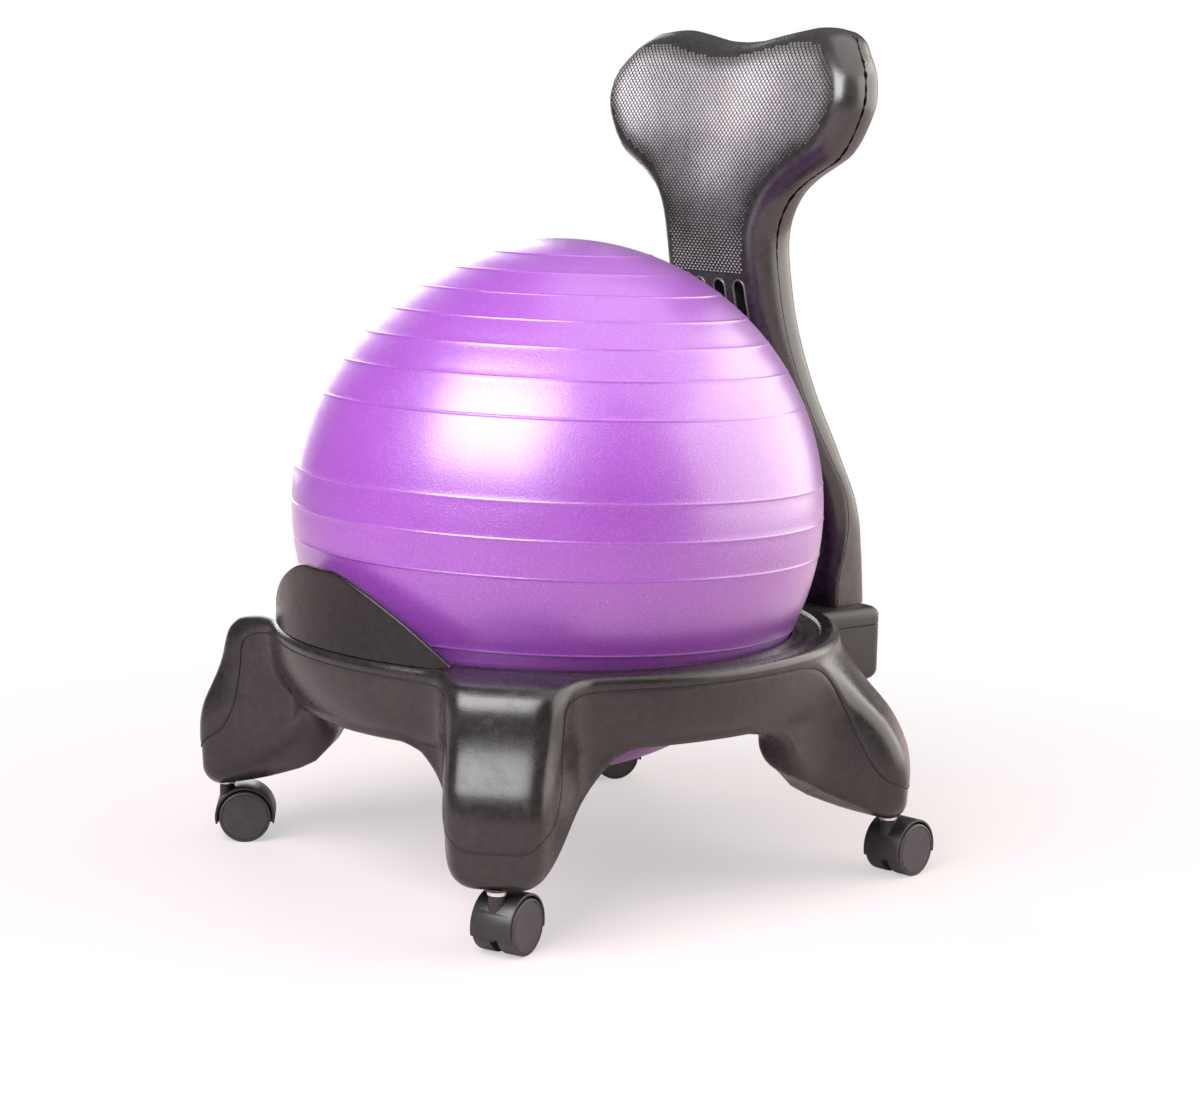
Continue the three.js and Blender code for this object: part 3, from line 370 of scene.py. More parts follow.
SECTIONS = 860
angle, radius, height, first_wall, last_wall = base_points(SECTIONS)
points = np.stack([radius * np.cos(angle), radius * np.sin(angle), height], 2)
side = crease_side(np.broadcast_to(angle, radius.shape), radius, height)
rows = np.arange(len(radius))[:, None]
on_wall = (rows >= first_wall) & (rows < last_wall + 4)
side = np.where(on_wall, side, FAR_FROM_CREASE)
depth = PANEL_DEPTH * smooth(-side, -PANEL_EDGE, PANEL_EDGE)
depth += CREASE_DEPTH * np.exp(-((side / CREASE_WIDTH) ** 2))
fade = smooth(rows, first_wall, first_wall + 3) * (1 - smooth(rows, last_wall - 3, last_wall + 4))
points = points - grid_normals(points) * (depth * fade)[..., None]
base_faces = grid_faces(len(radius), SECTIONS, True, True)
base = shell_mesh("base_shell", points, base_faces, fields={"crease": side * MILLIMETRE})
# Each caster: its name, its side and its end of the chair, and its heading in degrees.
CASTERS = [
    ("front_right", -1, -1, -33),
    ("front_left", 1, -1, 22),
    ("rear_left", 1, 1, 9),
    ("rear_right", -1, 1, -15),
]
# Room for a caster's socket in its leg, as (radius, height) points.
SOCKET_ROOM = [(0, 50), (11.8, 50), (11.8, 61.2), (8.2, 61.2), (8.2, 90), (0, 90)]
cut(base, [
    turned("seat", SOCKET_ROOM, 40, (x * STEM_PLACE, y * STEM_PLACE)) for _, x, y, _ in CASTERS
])


class Wire:
    """A socket's value. Sums written with it become Math nodes."""

    def __init__(self, graph, socket):
        self.graph = graph
        self.socket = socket

    def sum(self, operation, first, second):
        return self.graph.node("ShaderNodeMath", {"operation": operation}, {0: first, 1: second})

    def __add__(self, other):
        return self.sum("ADD", self, other)

    def __sub__(self, other):
        return self.sum("SUBTRACT", self, other)

    def __rsub__(self, other):
        return self.sum("SUBTRACT", other, self)

    def __mul__(self, other):
        return self.sum("MULTIPLY", self, other)

    def __abs__(self):
        return self.sum("ABSOLUTE", self, 0)

    __radd__ = __add__
    __rmul__ = __mul__


class Graph:
    """A node tree that grows by one call for each node."""

    def __init__(self, tree):
        self.tree = tree

    def node(self, kind, settings=None, sockets=None, output=0):
        made = self.tree.nodes.new(kind)
        for name, value in (settings or {}).items():
            setattr(made, name, value)
        for name, value in (sockets or {}).items():
            if isinstance(value, Wire):
                self.tree.links.new(value.socket, made.inputs[name])
            else:
                made.inputs[name].default_value = value
        return Wire(self, made.outputs[output]) if len(made.outputs) else made


def new_finish(name):
    material = bpy.data.materials.new(name)
    material.use_nodes = True
    material.node_tree.nodes.clear()
    return material, Graph(material.node_tree)


def show(graph, shader):
    graph.node("ShaderNodeOutputMaterial", None, {"Surface": shader})


def principled(graph, sockets):
    show(graph, graph.node("ShaderNodeBsdfPrincipled", None, sockets))


def grey(level):
    return (level, level, level, 1)


def blend_colours(graph, share, first, second):
    sockets = {"Factor": share, 6: first, 7: second}
    return graph.node("ShaderNodeMix", {"data_type": "RGBA"}, sockets, 2)


def noise(graph, scale, detail=2.0, roughness=0.5):
    place = graph.node("ShaderNodeTexCoord", output="Object")
    sockets = {"Vector": place, "Scale": scale, "Detail": detail, "Roughness": roughness}
    return graph.node("ShaderNodeTexNoise", None, sockets)


def between(graph, value, low, high):
    """Nought below low, one above high."""
    sockets = {"Value": value, "From Min": low, "From Max": high}
    return graph.node("ShaderNodeMapRange", None, sockets)


def relief(graph, value, rise, strength=1.0):
    """Fine relief, as high as rise in metres where the value is one."""
    sockets = {"Strength": strength, "Distance": rise, "Height": value}
    return graph.node("ShaderNodeBump", None, sockets)


def moulded_plastic(name, dark, light, rough, grain_size, rise, crease=False, specular=0.5):
    """Moulded plastic: mottled tone, leather grain, scuffed patches and pale dust in the grain."""
    material, g = new_finish(name)
    cloud = noise(g, 9, 4, 0.6)
    mottle = noise(g, 130, 3, 0.65)
    speck = between(g, noise(g, 700, 2, 0.6), 0.64, 0.74)
    tone = between(g, 0.5 * cloud + 0.5 * mottle, 0.4, 0.62)
    colour = blend_colours(g, tone, (*dark, 1), (*light, 1))
    colour = blend_colours(g, speck * 0.4, colour, (*(3.5 * c for c in light), 1))
    scuff = between(g, noise(g, 55, 6, 0.7), 0.5, 0.72)
    grain = noise(g, 1 / grain_size, 2, 0.55)
    roughness = rough + 0.12 * (cloud - 0.5) + 0.14 * (mottle - 0.5) + 0.1 * scuff
    # Along the crease the colour is darkened towards near black: painted shade in the crease.
    if crease:
        edge = abs(g.node("ShaderNodeAttribute", {"attribute_name": "crease"}, output="Fac"))
        line = 1 - between(g, edge, 0.0002, 0.0008)
        colour = blend_colours(g, line * 0.4, colour, grey(0.004))
        roughness = roughness + 0.2 * line
    principled(g, {
        "Base Color": colour, "Roughness": roughness, "Normal": relief(g, grain, rise),
        "Specular IOR Level": specular,
    })
    return material


def new_tree(name, sizes):
    """Geometry tree with a mesh and named sizes as inputs, and the wires of these."""
    tree = bpy.data.node_groups.new(name, "GeometryNodeTree")
    for way in ("INPUT", "OUTPUT"):
        tree.interface.new_socket("Geometry", in_out=way, socket_type="NodeSocketGeometry")
    for size, value in sizes.items():
        socket = tree.interface.new_socket(size, in_out="INPUT", socket_type="NodeSocketFloat")
        socket.default_value = value
    graph = Graph(tree)
    given = tree.nodes.new("NodeGroupInput").outputs
    return tree, graph, {name: Wire(graph, given[name]) for name in ("Geometry", *sizes)}


def give_out(graph, geometry, material):
    """Last nodes of a geometry tree: real geometry with its material."""
    plain = graph.node("GeometryNodeRealizeInstances", None, {"Geometry": geometry})
    sockets = {"Geometry": plain, "Material": material}
    painted = graph.node("GeometryNodeSetMaterial", None, sockets)
    graph.node("NodeGroupOutput", None, {"Geometry": painted})


def grow(name, tree, carrier, sizes):
    """Runs a tree on a carrier mesh and keeps the result as a plain mesh."""
    step = carrier.modifiers.new("grow", "NODES")
    step.node_group = tree
    for item in tree.interface.items_tree:
        if item.name in sizes:
            step[item.identifier] = sizes[item.name]
    result = baked_mesh(carrier)
    carrier.modifiers.clear()
    bpy.data.objects.remove(carrier)
    return tidy(add_object(name, result), 35)


def bead_along(name, points, edges, thickness, material):
    """Round bar that follows closed paths of points in millimetres."""
    path = bpy.data.meshes.new(name)
    path.from_pydata(placed(points).tolist(), edges, [])
    carrier = add_object(name, path)
    sizes = {"Thickness": thickness * MILLIMETRE}
    tree, g, given = new_tree(name, sizes)
    curve = g.node("GeometryNodeMeshToCurve", None, {"Mesh": given["Geometry"]})
    sockets = {"Resolution": 10, "Radius": given["Thickness"]}
    round_bar = g.node("GeometryNodeCurvePrimitiveCircle", None, sockets)
    sockets = {"Curve": curve, "Profile Curve": round_bar}
    give_out(g, g.node("GeometryNodeCurveToMesh", None, sockets), material)
    return grow(name, tree, carrier, sizes)


base_plastic = moulded_plastic(
    "base_plastic", (0.008, 0.0067, 0.0065), (0.018, 0.0152, 0.0148), 0.25, 0.0011, 0.00015,
    crease=True, specular=0.54,
)
base.data.materials.append(base_plastic)
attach(base, "frame")
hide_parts("base_moulding")

# The dark line in the crease is painted shade: a thin bar of near-black finish sunk along it, found
# by its height at each turn.
CREASE_BAR = 0.75
CREASE_SINK = 0.9
BAR_STEP = 2.8
CLOSING_GAP = 2
SEARCH_STEP = 0.5
SEARCH_FLOOR = 80
turns = np.linspace(0, 2 * math.pi, 3601)[:-1]
heights = np.arange(RIM_HEIGHT, SEARCH_FLOOR, -SEARCH_STEP)[:, None]
sides = crease_side(turns[None], outer_radius(turns[None], heights), heights)
below = np.argmax(sides < 0, axis=0)
upper, lower = sides[below - 1, np.arange(len(turns))], sides[below, np.arange(len(turns))]
level = heights[below - 1, 0] - SEARCH_STEP * upper / (upper - lower)


def wall_point(turn, level):
    reach = outer_radius(turn, level)
    return np.stack([reach * np.cos(turn), reach * np.sin(turn), level], -1)


line = wall_point(turns, level)
nudge = 0.002
along = wall_point(turns + nudge, level) - wall_point(turns - nudge, level)
up = wall_point(turns, level + nudge) - wall_point(turns, level - nudge)
outward = np.cross(along, up)
line -= CREASE_SINK * outward / np.linalg.norm(outward, axis=1, keepdims=True)
steps = np.linalg.norm(np.diff(line, axis=0, append=line[:1]), axis=1)
run = np.concatenate([[0], np.cumsum(steps)])
even = np.arange(0, run[-1] - CLOSING_GAP, BAR_STEP)
line = np.stack([np.interp(even, run, np.append(line[:, i], line[0, i])) for i in range(3)], 1)
# The bar's near-black, dull finish is painted shade.
shade, g = new_finish("crease_painted_shade")
principled(g, {
    "Base Color": blend_colours(g, noise(g, 90, 3), grey(0.003), grey(0.02)),
    "Roughness": 0.45 + 0.3 * noise(g, 40, 2), "Specular IOR Level": 0.25,
})
joins = [(i, (i + 1) % len(line)) for i in range(len(line))]
crease_shadow_bar = bead_along("base_crease_shadow", line, joins, CREASE_BAR, shade)
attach(crease_shadow_bar, "frame")

# Rear box of the base.
# A hollow block on the back of the ring, moulded with it, with soft corners and a parting line
# below its lid. The column of the back stands in it and is bolted through it.
BOX_HALF_WIDTH = 95.6
BOX_FRONT = 252.0
BOX_REAR = 337.0
BOX_TOP = 227.0
BOX_FLOOR = 152.0
BOX_CORNER = 12.0
LID_ROUND = 9.0
# Wall of the box with its parting line, as (height, inset) points.
BOX_WALL = [(198, 0), (208.4, 0), (209.3, 1.0), (210.2, 0), (216, 0)]


def rounded_outline(half_width, front, rear, corner, steps):
    points = []
    for x, y, start in (
        (half_width - corner, rear - corner, 0),
        (corner - half_width, rear - corner, 1),
        (corner - half_width, front + corner, 2),
        (half_width - corner, front + corner, 3),
    ):
        for turn in np.linspace(0, math.pi / 2, steps) + start * math.pi / 2:
            points.append((x + corner * math.cos(turn), y + corner * math.sin(turn)))
    return points


def capped_rings(name, rings):
    """Closed skin over equal rings of points, with a flat lid at either end."""
    count = len(rings[0])
    faces = [list(face) for face in grid_faces(len(rings), count, False, True)]
    faces.append(list(range(count)))
    faces.append(list(range((len(rings) - 1) * count, len(rings) * count)))
    return shell_mesh(name, [p for ring in rings for p in ring], faces)


levels = []
for turn in arc(7):
    rise, inset = BOX_CORNER * (1 - math.cos(turn)), BOX_CORNER * (1 - math.sin(turn))
    levels.append((BOX_FLOOR + rise, inset))
levels += BOX_WALL
for turn in arc(7)[1:]:
    levels.append((BOX_TOP - LID_ROUND * (1 - math.sin(turn)), LID_ROUND * (1 - math.cos(turn))))
rings = []
for level, inset in levels:
    corner = BOX_CORNER - inset * 0.4
    outline = rounded_outline(BOX_HALF_WIDTH - inset, BOX_FRONT, BOX_REAR - inset, corner, 9)
    rings.append([(x, y, level) for x, y in outline])
rear_box = capped_rings("rear_box", rings)
rear_box.data.materials.append(base_plastic)
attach(rear_box, "frame")

# Front guard.
# A low half-moon wall that snaps into the rim in front of the ball. Injection moulded, smoother
# than the base, with a rounded top edge.
GUARD_RADIUS = RING_RADIUS - RIM_ROUND / 3
GUARD_HALF_SPAN = 145.0
GUARD_HALF_ANGLE = math.asin(GUARD_HALF_SPAN / GUARD_RADIUS)
GUARD_BOTTOM = RIM_HEIGHT + 0.2
GUARD_RISE = 304.0 - GUARD_BOTTOM
GUARD_THICKNESS = 5.0
GUARD_ROUND = 2.2
GUARD_LEAN = 3.0
TIP_LIFT = 3.5
# Height of the guard from its middle to its tip, as shares.
GUARD_TOP = [(0, 1), (0.18, 0.99), (0.4, 0.83), (0.66, 0.55), (0.86, 0.27), (1, 0.05)]

rings = []
for share in np.sin(np.linspace(-math.pi / 2, math.pi / 2, 181)):
    turn = -math.pi / 2 + share * GUARD_HALF_ANGLE
    rise = float(GUARD_RISE * look_up(GUARD_TOP, abs(share)))
    edge = min(GUARD_ROUND, rise * 0.45)
    lift = TIP_LIFT * float(smooth(abs(share), 0.9, 1)) * min(rise / 8, 1)
    rise -= lift
    foot = GUARD_BOTTOM + lift
    top = foot + rise
    section = [(0.0, foot + (rise - edge) * step) for step in np.linspace(0, 1, 16)]
    for swing in arc(6)[1:]:
        section.append((edge * (1 - math.cos(swing)), top - edge * (1 - math.sin(swing))))
    for swing in arc(6)[1:]:
        inset = GUARD_THICKNESS - edge * (1 - math.sin(swing))
        section.append((inset, top - edge * (1 - math.cos(swing))))
    for step in np.linspace(1, 0, 12)[1:]:
        section.append((GUARD_THICKNESS, foot + (rise - edge) * step))
    ring = []
    for inset, level in section:
        leaned = GUARD_RADIUS + GUARD_LEAN * ((level - GUARD_BOTTOM) / GUARD_RISE) ** 2
        out = max(leaned - inset, float(ball_radius_at(level)))
        ring.append((out * math.cos(turn), out * math.sin(turn), level))
    rings.append(ring)
guard = capped_rings("guard", rings)
guard_plastic = moulded_plastic(
    "guard_plastic", (0.005, 0.0042, 0.0039), (0.0125, 0.0103, 0.0096), 0.27, 0.0014, 0.00005,
    specular=0.32,
)
guard.data.materials.append(guard_plastic)
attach(guard, "frame")
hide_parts("front_guard")

# Ball.
# A seamless inflated skin of pearly purple vinyl with fine raised ribs round it and a finely
# pebbled surface. It sits in the ring by its own weight, leaning back a little.
BALL_TILT = math.radians(-1.4)
BALL_FIT = 0.1
RIB_LATITUDES = [-32.8, -24.2, -7.6, 0, 7.6, 24.4, 32.8, 40.3, 47.3, 54.9, 62.8, 71.6]
RIB_RISE = 0.58
RIB_HALF_WIDTH = 1.9

marks = set(np.round(np.linspace(-90, 90, 121), 3))
for latitude in RIB_LATITUDES:
    for offset in np.linspace(-RIB_HALF_WIDTH, RIB_HALF_WIDTH, 9):
        marks.add(round(float(latitude + math.degrees(offset / BALL_RADIUS)), 4))
profile = []
for latitude in sorted(marks):
    gap = min(abs(math.radians(latitude - rib)) * BALL_RADIUS for rib in RIB_LATITUDES)
    lift = RIB_RISE * (0.5 + 0.5 * math.cos(math.pi * min(gap / RIB_HALF_WIDTH, 1)))
    reach = BALL_RADIUS - BALL_FIT + lift
    place = math.radians(latitude)
    profile.append((max(reach * math.cos(place), 0), reach * math.sin(place)))
profile[0] = (0, profile[0][1])
profile[-1] = (0, profile[-1][1])
ball = turned("ball", profile, 256)
centre = Matrix.Translation((0, MIDDLE_Y * MILLIMETRE, BALL_CENTRE * MILLIMETRE))
to_middle = Matrix.Translation((0, -MIDDLE_Y * MILLIMETRE, 0))
ball.data.transform(centre @ Matrix.Rotation(BALL_TILT, 4, "X") @ to_middle)
ball.data.update()

pearl, g = new_finish("ball_vinyl")
cloud = noise(g, 5, 3, 0.55)
pebble = noise(g, 620, 3, 0.6)
tone = between(g, cloud, 0.35, 0.65)
colour = blend_colours(g, tone, (0.205, 0.039, 0.315, 1), (0.233, 0.049, 0.352, 1))
# Pale flecks on the tops of the pebbling: painted glints.
gleam = between(g, pebble, 0.5, 0.72) * 0.25
principled(g, {
    "Base Color": blend_colours(g, gleam, colour, (0.54, 0.22, 0.70, 1)),
    "Roughness": 0.3 + 0.1 * (cloud - 0.5), "Normal": relief(g, pebble, 0.00046),
    "Specular IOR Level": 0.8, "Sheen Weight": 0.05, "Sheen Roughness": 0.4,
    "Sheen Tint": (1, 0.85, 1, 1), "Coat Weight": 1.0, "Coat Roughness": 0.27,
})
ball.data.materials.append(pearl)
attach(ball, "ball")
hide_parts("ball_skin")

# Valve plug.
# A soft stopper with a domed flange, pushed into the valve under the ball and pulled to let air in.
foot = BALL_CENTRE - BALL_RADIUS - 0.3
plug = turned("plug", [
    (0, foot - 1.6), (3, foot - 1.6), (5.4, foot - 1.3), (6.4, foot - 0.7), (6.4, foot - 0.1),
    (3.6, foot), (3.6, foot + 11.5), (2.6, foot + 13), (0, foot + 13),
])
plug_vinyl = moulded_plastic(
    "plug_vinyl", (0.22, 0.05, 0.34), (0.28, 0.07, 0.42), 0.45, 0.002, 0.00002,
)
plug.data.materials.append(plug_vinyl)
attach(plug, "plug")
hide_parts("valve_plug")

# Back shells.
# Two injection-moulded halves joined at a seam round the edge: the front one has a plump rounded
# border round a patterned panel and vents above the ball, the rear one is plain.
BACK_TOP = 790.0
BACK_DIP = 13.0
CORNER_RISE = 0.58
BACK_FOOT = BOX_TOP + 0.3
BACK_HEIGHT = BACK_TOP - BACK_FOOT
EDGE_HEIGHT = BACK_HEIGHT - BACK_DIP * (1 - CORNER_RISE)
LOBE_HALF_WIDTH = 180.0
COLUMN_REACH = RING_RADIUS + 37.5
SEAM_MARGIN = 7.8
FRONT_DEPTH = 26
REAR_DEPTH = 23
FOOT_DEPTH = 20
EDGE_ROUND = 19.0
REAR_EDGE_ROUND = 10.0
SHELL_WALL = 3.0
SEAM_GAP = 0.6
# Tables of shares: the half width of the back and, up its height, the place of its seam and the
# depths of the front shell and of the rear shell's foot. TOP_RISE runs from the middle to a corner.
EDGE = [
    (0, 0.42), (0.109, 0.42), (0.36, 0.405), (0.595, 0.405), (0.659, 0.416), (0.696, 0.452),
    (0.727, 0.517), (0.753, 0.622), (0.773, 0.737), (0.792, 0.842), (0.831, 0.937), (0.881, 1),
    (0.926, 0.983), (0.951, 0.94), (0.968, 0.893), (0.981, 0.855), (0.991, 0.82), (1, 0.77),
]
TOP_RISE = [
    (0, 0), (0.2, 0.13), (0.45, 0.62), (0.65, 0.96), (0.76, 1), (0.88, 0.91), (0.95, 0.76),
    (1, CORNER_RISE),
]
SEAM = [
    (0, 0.961), (0.058, 0.968), (0.098, 0.986), (0.15, 1), (0.207, 0.979), (0.281, 0.898),
    (0.376, 0.797), (0.49, 0.71), (0.584, 0.669), (0.653, 0.653), (0.722, 0.657), (0.782, 0.668),
    (0.871, 0.678), (0.941, 0.7), (1, 0.748),
]
FRONT_SHARE = [
    (0, 0.26), (0.098, 0.4), (0.15, 0.66), (0.207, 0.84), (0.376, 0.9), (0.554, 1), (1, 1),
]
FOOT_SHARE = [
    (0, 1), (0.058, 0.75), (0.108, 0.25), (0.158, -0.12), (0.217, -0.3), (0.286, -0.1),
    (0.366, 0), (1, 0),
]


def seam_depth(height):
    drawn = COLUMN_REACH * look_up(SEAM, (height - BACK_FOOT) / BACK_HEIGHT)
    return np.maximum(drawn, ball_radius_at(height) + SEAM_MARGIN)


def rear_depth(x, height):
    foot = FOOT_DEPTH * look_up(FOOT_SHARE, (height - BACK_FOOT) / BACK_HEIGHT)
    return seam_depth(height) + REAR_DEPTH + foot + 0 * x


def front_depth(x, height):
    depth = FRONT_DEPTH * look_up(FRONT_SHARE, (height - BACK_FOOT) / BACK_HEIGHT)
    ball = np.sqrt(np.maximum(ball_radius_at(height) ** 2 - x**2, 0))
    return np.maximum(seam_depth(height) - depth, ball)


def rounded(share):
    """How far a quarter round has risen at a share of its width."""
    return np.sqrt(1 - (1 - share) ** 2)


def back_outline(across, up, inset):
    """Points of the back: across runs from -1 to 1, up from 0 at the foot to 1 at the top."""
    half = LOBE_HALF_WIDTH * look_up(EDGE, up) - inset
    rise = look_up(TOP_RISE, np.abs(across)) - CORNER_RISE
    return across * half, BACK_FOOT + EDGE_HEIGHT * up + up**8 * (BACK_DIP * rise - inset)


def edge_distance(x, z, inset):
    """Distance of points from the outline of the back, its foot left open."""
    steps = np.linspace(0, 1, 181)
    across = np.linspace(1, -1, 121)[1:-1]
    parts = [
        back_outline(1, steps, inset),
        back_outline(across, 1.0, inset),
        back_outline(-1, steps[::-1], inset),
    ]
    line = np.concatenate([np.stack(np.broadcast_arrays(*part), 1) for part in parts])
    nearest = np.full(x.shape, 1e9)
    for (ax, az), (bx, bz) in zip(line[:-1], line[1:]):
        dx, dz = bx - ax, bz - az
        t = np.clip(((x - ax) * dx + (z - az) * dz) / (dx * dx + dz * dz), 0, 1)
        nearest = np.minimum(nearest, np.hypot(x - ax - t * dx, z - az - t * dz))
    return nearest


def half_shell(name, seam_offset, face_depth, edge_round):
    """Shell from the seam to its face: an outer and an inner sheet, joined along their border."""
    rows, columns = 230, 84
    count = rows * columns
    up = np.broadcast_to(np.linspace(0, 1, rows)[:, None], (rows, columns))
    turn = np.linspace(-math.pi / 2, math.pi / 2, columns)
    across = np.broadcast_to(np.sin(turn)[None], (rows, columns))
    sheets = []
    for inset in (0, SHELL_WALL):
        x, z = back_outline(across, up, inset)
        seam = seam_depth(z) + seam_offset
        side = np.sign(face_depth(x, z) - seam)
        face = face_depth(x, z) - side * inset
        share = np.minimum(edge_distance(x, z, inset) / (edge_round - inset), 1)
        sheets.append(np.stack([x, mix(seam, face, rounded(share)), z], 2).reshape(-1, 3))
    faces = grid_faces(rows, columns, False, False)
    walls = np.concatenate([faces, faces[:, ::-1] + count])
    border = [*range(columns), *range(2 * columns - 1, count, columns)]
    border += [*range(count - 2, count - columns - 1, -1)]
    border += [*range((rows - 2) * columns, 0, -columns)]
    rim = [(a, b, b + count, a + count) for a, b in zip(border, border[1:] + border[:1])]
    return shell_mesh(name, np.concatenate(sheets), [*walls, *rim], 50)


front_shell = half_shell("front_shell", 0, front_depth, EDGE_ROUND)
rear_shell = half_shell("rear_shell", SEAM_GAP, rear_depth, REAR_EDGE_ROUND)
SLOT_TOP = 551.0
SLOT_BOTTOM = 462.0
SLOT_HALF_WIDTH = 8.0
SLOT_PITCH = 29.0
SLOT_PLACES = [(i - 1.5) * SLOT_PITCH for i in range(4)]
SLOT_CUT = (150, seam_depth(SLOT_TOP) - 2)


def slot_outline(x, grow):
    """Round-ended upright outline about x, as (x, height) points."""
    reach = SLOT_HALF_WIDTH + grow
    low, high = SLOT_BOTTOM + SLOT_HALF_WIDTH, SLOT_TOP - SLOT_HALF_WIDTH
    turns = np.linspace(0, math.pi, 13)
    sides = np.linspace(low, high, 14)[1:-1]
    points = [(x + reach * math.cos(a), high + reach * math.sin(a)) for a in turns]
    points += [(x - reach, z) for z in sides[::-1]]
    points += [(x - reach * math.cos(a), low - reach * math.sin(a)) for a in turns]
    return points + [(x + reach, z) for z in sides]


slots = []
for place in SLOT_PLACES:
    outline = slot_outline(place, 0)
    slots.append(capped_rings("slot", [[(x, y, z) for x, z in outline] for y in SLOT_CUT]))
cut(front_shell, slots)
back_plastic = moulded_plastic(
    "back_plastic", (0.011, 0.0098, 0.0098), (0.022, 0.0195, 0.0195), 0.27, 0.0009, 0.00006,
    specular=0.75,
)
for shell, node in ((front_shell, "back_front_shell"), (rear_shell, "back_rear_shell")):
    shell.data.materials.append(back_plastic)
    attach(shell, "frame")
    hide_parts(node)

# Panel pattern and vent rims.
# The panel is moulded with rows of small raised diamonds set in quincunx, and each vent has a fine
# raised bead round it. Both are laid on the front shell.
DIAMOND_PITCH = 5.4
DIAMOND_SIZES = {"Width": 0.0049, "Height": 0.0016}
DIAMOND_BLUNTNESS = 0.0005
DIAMOND_SINK = 0.0004
PANEL_FLOOR = 558.0
PANEL_BORDER = 21
TOP_BORDER = 15
BORDER_CHANGE = (690, 745)
# Painted sheen on the diamonds, with painted shade low down by the neck and towards the right
# border as seen from the front:
# how pale they are up the panel, across it, and on two paler patches, each a line with the width
# and the amount of sheen on it. Less towards the border.
SHEEN_UP = [
    (555, 0), (600, 0.03), (625, 0.08), (650, 0.15), (680, 0.3), (705, 0.55), (740, 0.6),
    (790, 0.5),
]
SHEEN_ACROSS = [(-180, 0.9), (-90, 1), (60, 1), (150, 0.5)]
SHEEN_PATCHES = [((-155, 738), (-130, 712), 38, 0.45), ((50, 730), (5, 660), 38, 0.42)]
SHEEN_AT_BORDER = 0.2
SHEEN_FADE = 17
BEAD_GROWTH = 0.2
BEAD_THICKNESS = 1.1
xs, zs = np.meshgrid(
    np.arange(-LOBE_HALF_WIDTH, LOBE_HALF_WIDTH, DIAMOND_PITCH),
    np.arange(PANEL_FLOOR, BACK_TOP, DIAMOND_PITCH),
)
xs = np.concatenate([xs.ravel(), xs.ravel() + DIAMOND_PITCH / 2])
zs = np.concatenate([zs.ravel(), zs.ravel() + DIAMOND_PITCH / 2])
edge = edge_distance(xs, zs, 0)
_, top_edge = back_outline(np.clip(xs / LOBE_HALF_WIDTH, -1, 1), 1.0, 0)
half_at = LOBE_HALF_WIDTH * look_up(EDGE, np.clip((zs - BACK_FOOT) / EDGE_HEIGHT, 0, 1))
border = mix(PANEL_BORDER, TOP_BORDER, smooth(zs, *BORDER_CHANGE))
inside = (edge > border) & (np.abs(xs) < half_at) & (zs < top_edge)
xs, zs = xs[inside], zs[inside]


def surface_at(x, z):
    """How far back the front shell's outer face stands."""
    share = np.minimum(edge_distance(x, z, 0) / EDGE_ROUND, 1)
    return mix(seam_depth(z), front_depth(x, z), rounded(share))


step = 0.5
ys = surface_at(xs, zs)
slope_x = (surface_at(xs + step, zs) - surface_at(xs - step, zs)) / (2 * step)
slope_z = (surface_at(xs, zs + step) - surface_at(xs, zs - step)) / (2 * step)
normals = np.stack([slope_x, -np.ones(len(xs)), slope_z], 1)
normals /= np.linalg.norm(normals, axis=1, keepdims=True)
lattice = bpy.data.meshes.new("lattice")
lattice.from_pydata(placed(np.stack([xs, ys, zs], 1)).tolist(), [], [])
facing = lattice.attributes.new("facing", "FLOAT_VECTOR", "POINT")
facing.data.foreach_set("vector", normals.astype(np.float32).ravel())
painted_sheen = look_up(SHEEN_UP, zs) * look_up(SHEEN_ACROSS, xs)
for start, end, width, amount in SHEEN_PATCHES:
    run = np.subtract(end, start)
    t = np.clip(((xs - start[0]) * run[0] + (zs - start[1]) * run[1]) / (run @ run), 0, 1)
    gap = np.hypot(xs - start[0] - t * run[0], zs - start[1] - t * run[1])
    painted_sheen += amount * np.exp(-((gap / width) ** 2))
painted_sheen *= mix(SHEEN_AT_BORDER, 1, smooth((edge - border)[inside], 0, SHEEN_FADE))
sheen_layer = lattice.attributes.new("painted_sheen", "FLOAT", "POINT")
sheen_layer.data.foreach_set("value", painted_sheen.astype(np.float32))
carrier = add_object("lattice", lattice)

# The diamonds run from near black to pale grey with the painted sheen: a painted highlight where
# they would catch the light.
raised_plastic, g = new_finish("raised_plastic")
painted_sheen = g.node("ShaderNodeAttribute", {"attribute_name": "painted_sheen"}, output="Fac")
cloud = noise(g, 22, 4, 0.6)
shine = between(g, painted_sheen + 0.35 * (cloud - 0.5), 0, 1)
principled(g, {
    "Base Color": blend_colours(g, shine, (0.012, 0.011, 0.012, 1), (0.62, 0.595, 0.625, 1)),
    "Roughness": 0.36 - 0.08 * shine, "Normal": relief(g, noise(g, 1100, 2), 0.00002),
    "Specular IOR Level": 0.55,
})
tree, g, given = new_tree("diamonds", DIAMOND_SIZES)
cone = g.node("GeometryNodeMeshCone", None, {
    "Vertices": 4, "Side Segments": 1, "Radius Top": DIAMOND_BLUNTNESS,
    "Radius Bottom": given["Width"] * 0.5, "Depth": given["Height"],
})
sockets = {"Geometry": cone, "Translation": (0, 0, -DIAMOND_SINK)}
sunk = g.node("GeometryNodeTransform", None, sockets)
stored = {"data_type": "FLOAT_VECTOR"}
direction = g.node("GeometryNodeInputNamedAttribute", stored, {"Name": "facing"})
lean = g.node("FunctionNodeAlignRotationToVector", {"axis": "Z"}, {"Vector": direction})
sockets = {"Points": given["Geometry"], "Instance": sunk, "Rotation": lean}
give_out(g, g.node("GeometryNodeInstanceOnPoints", None, sockets), raised_plastic)
diamonds = grow("panel_diamonds", tree, carrier, DIAMOND_SIZES)
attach(diamonds, "frame")

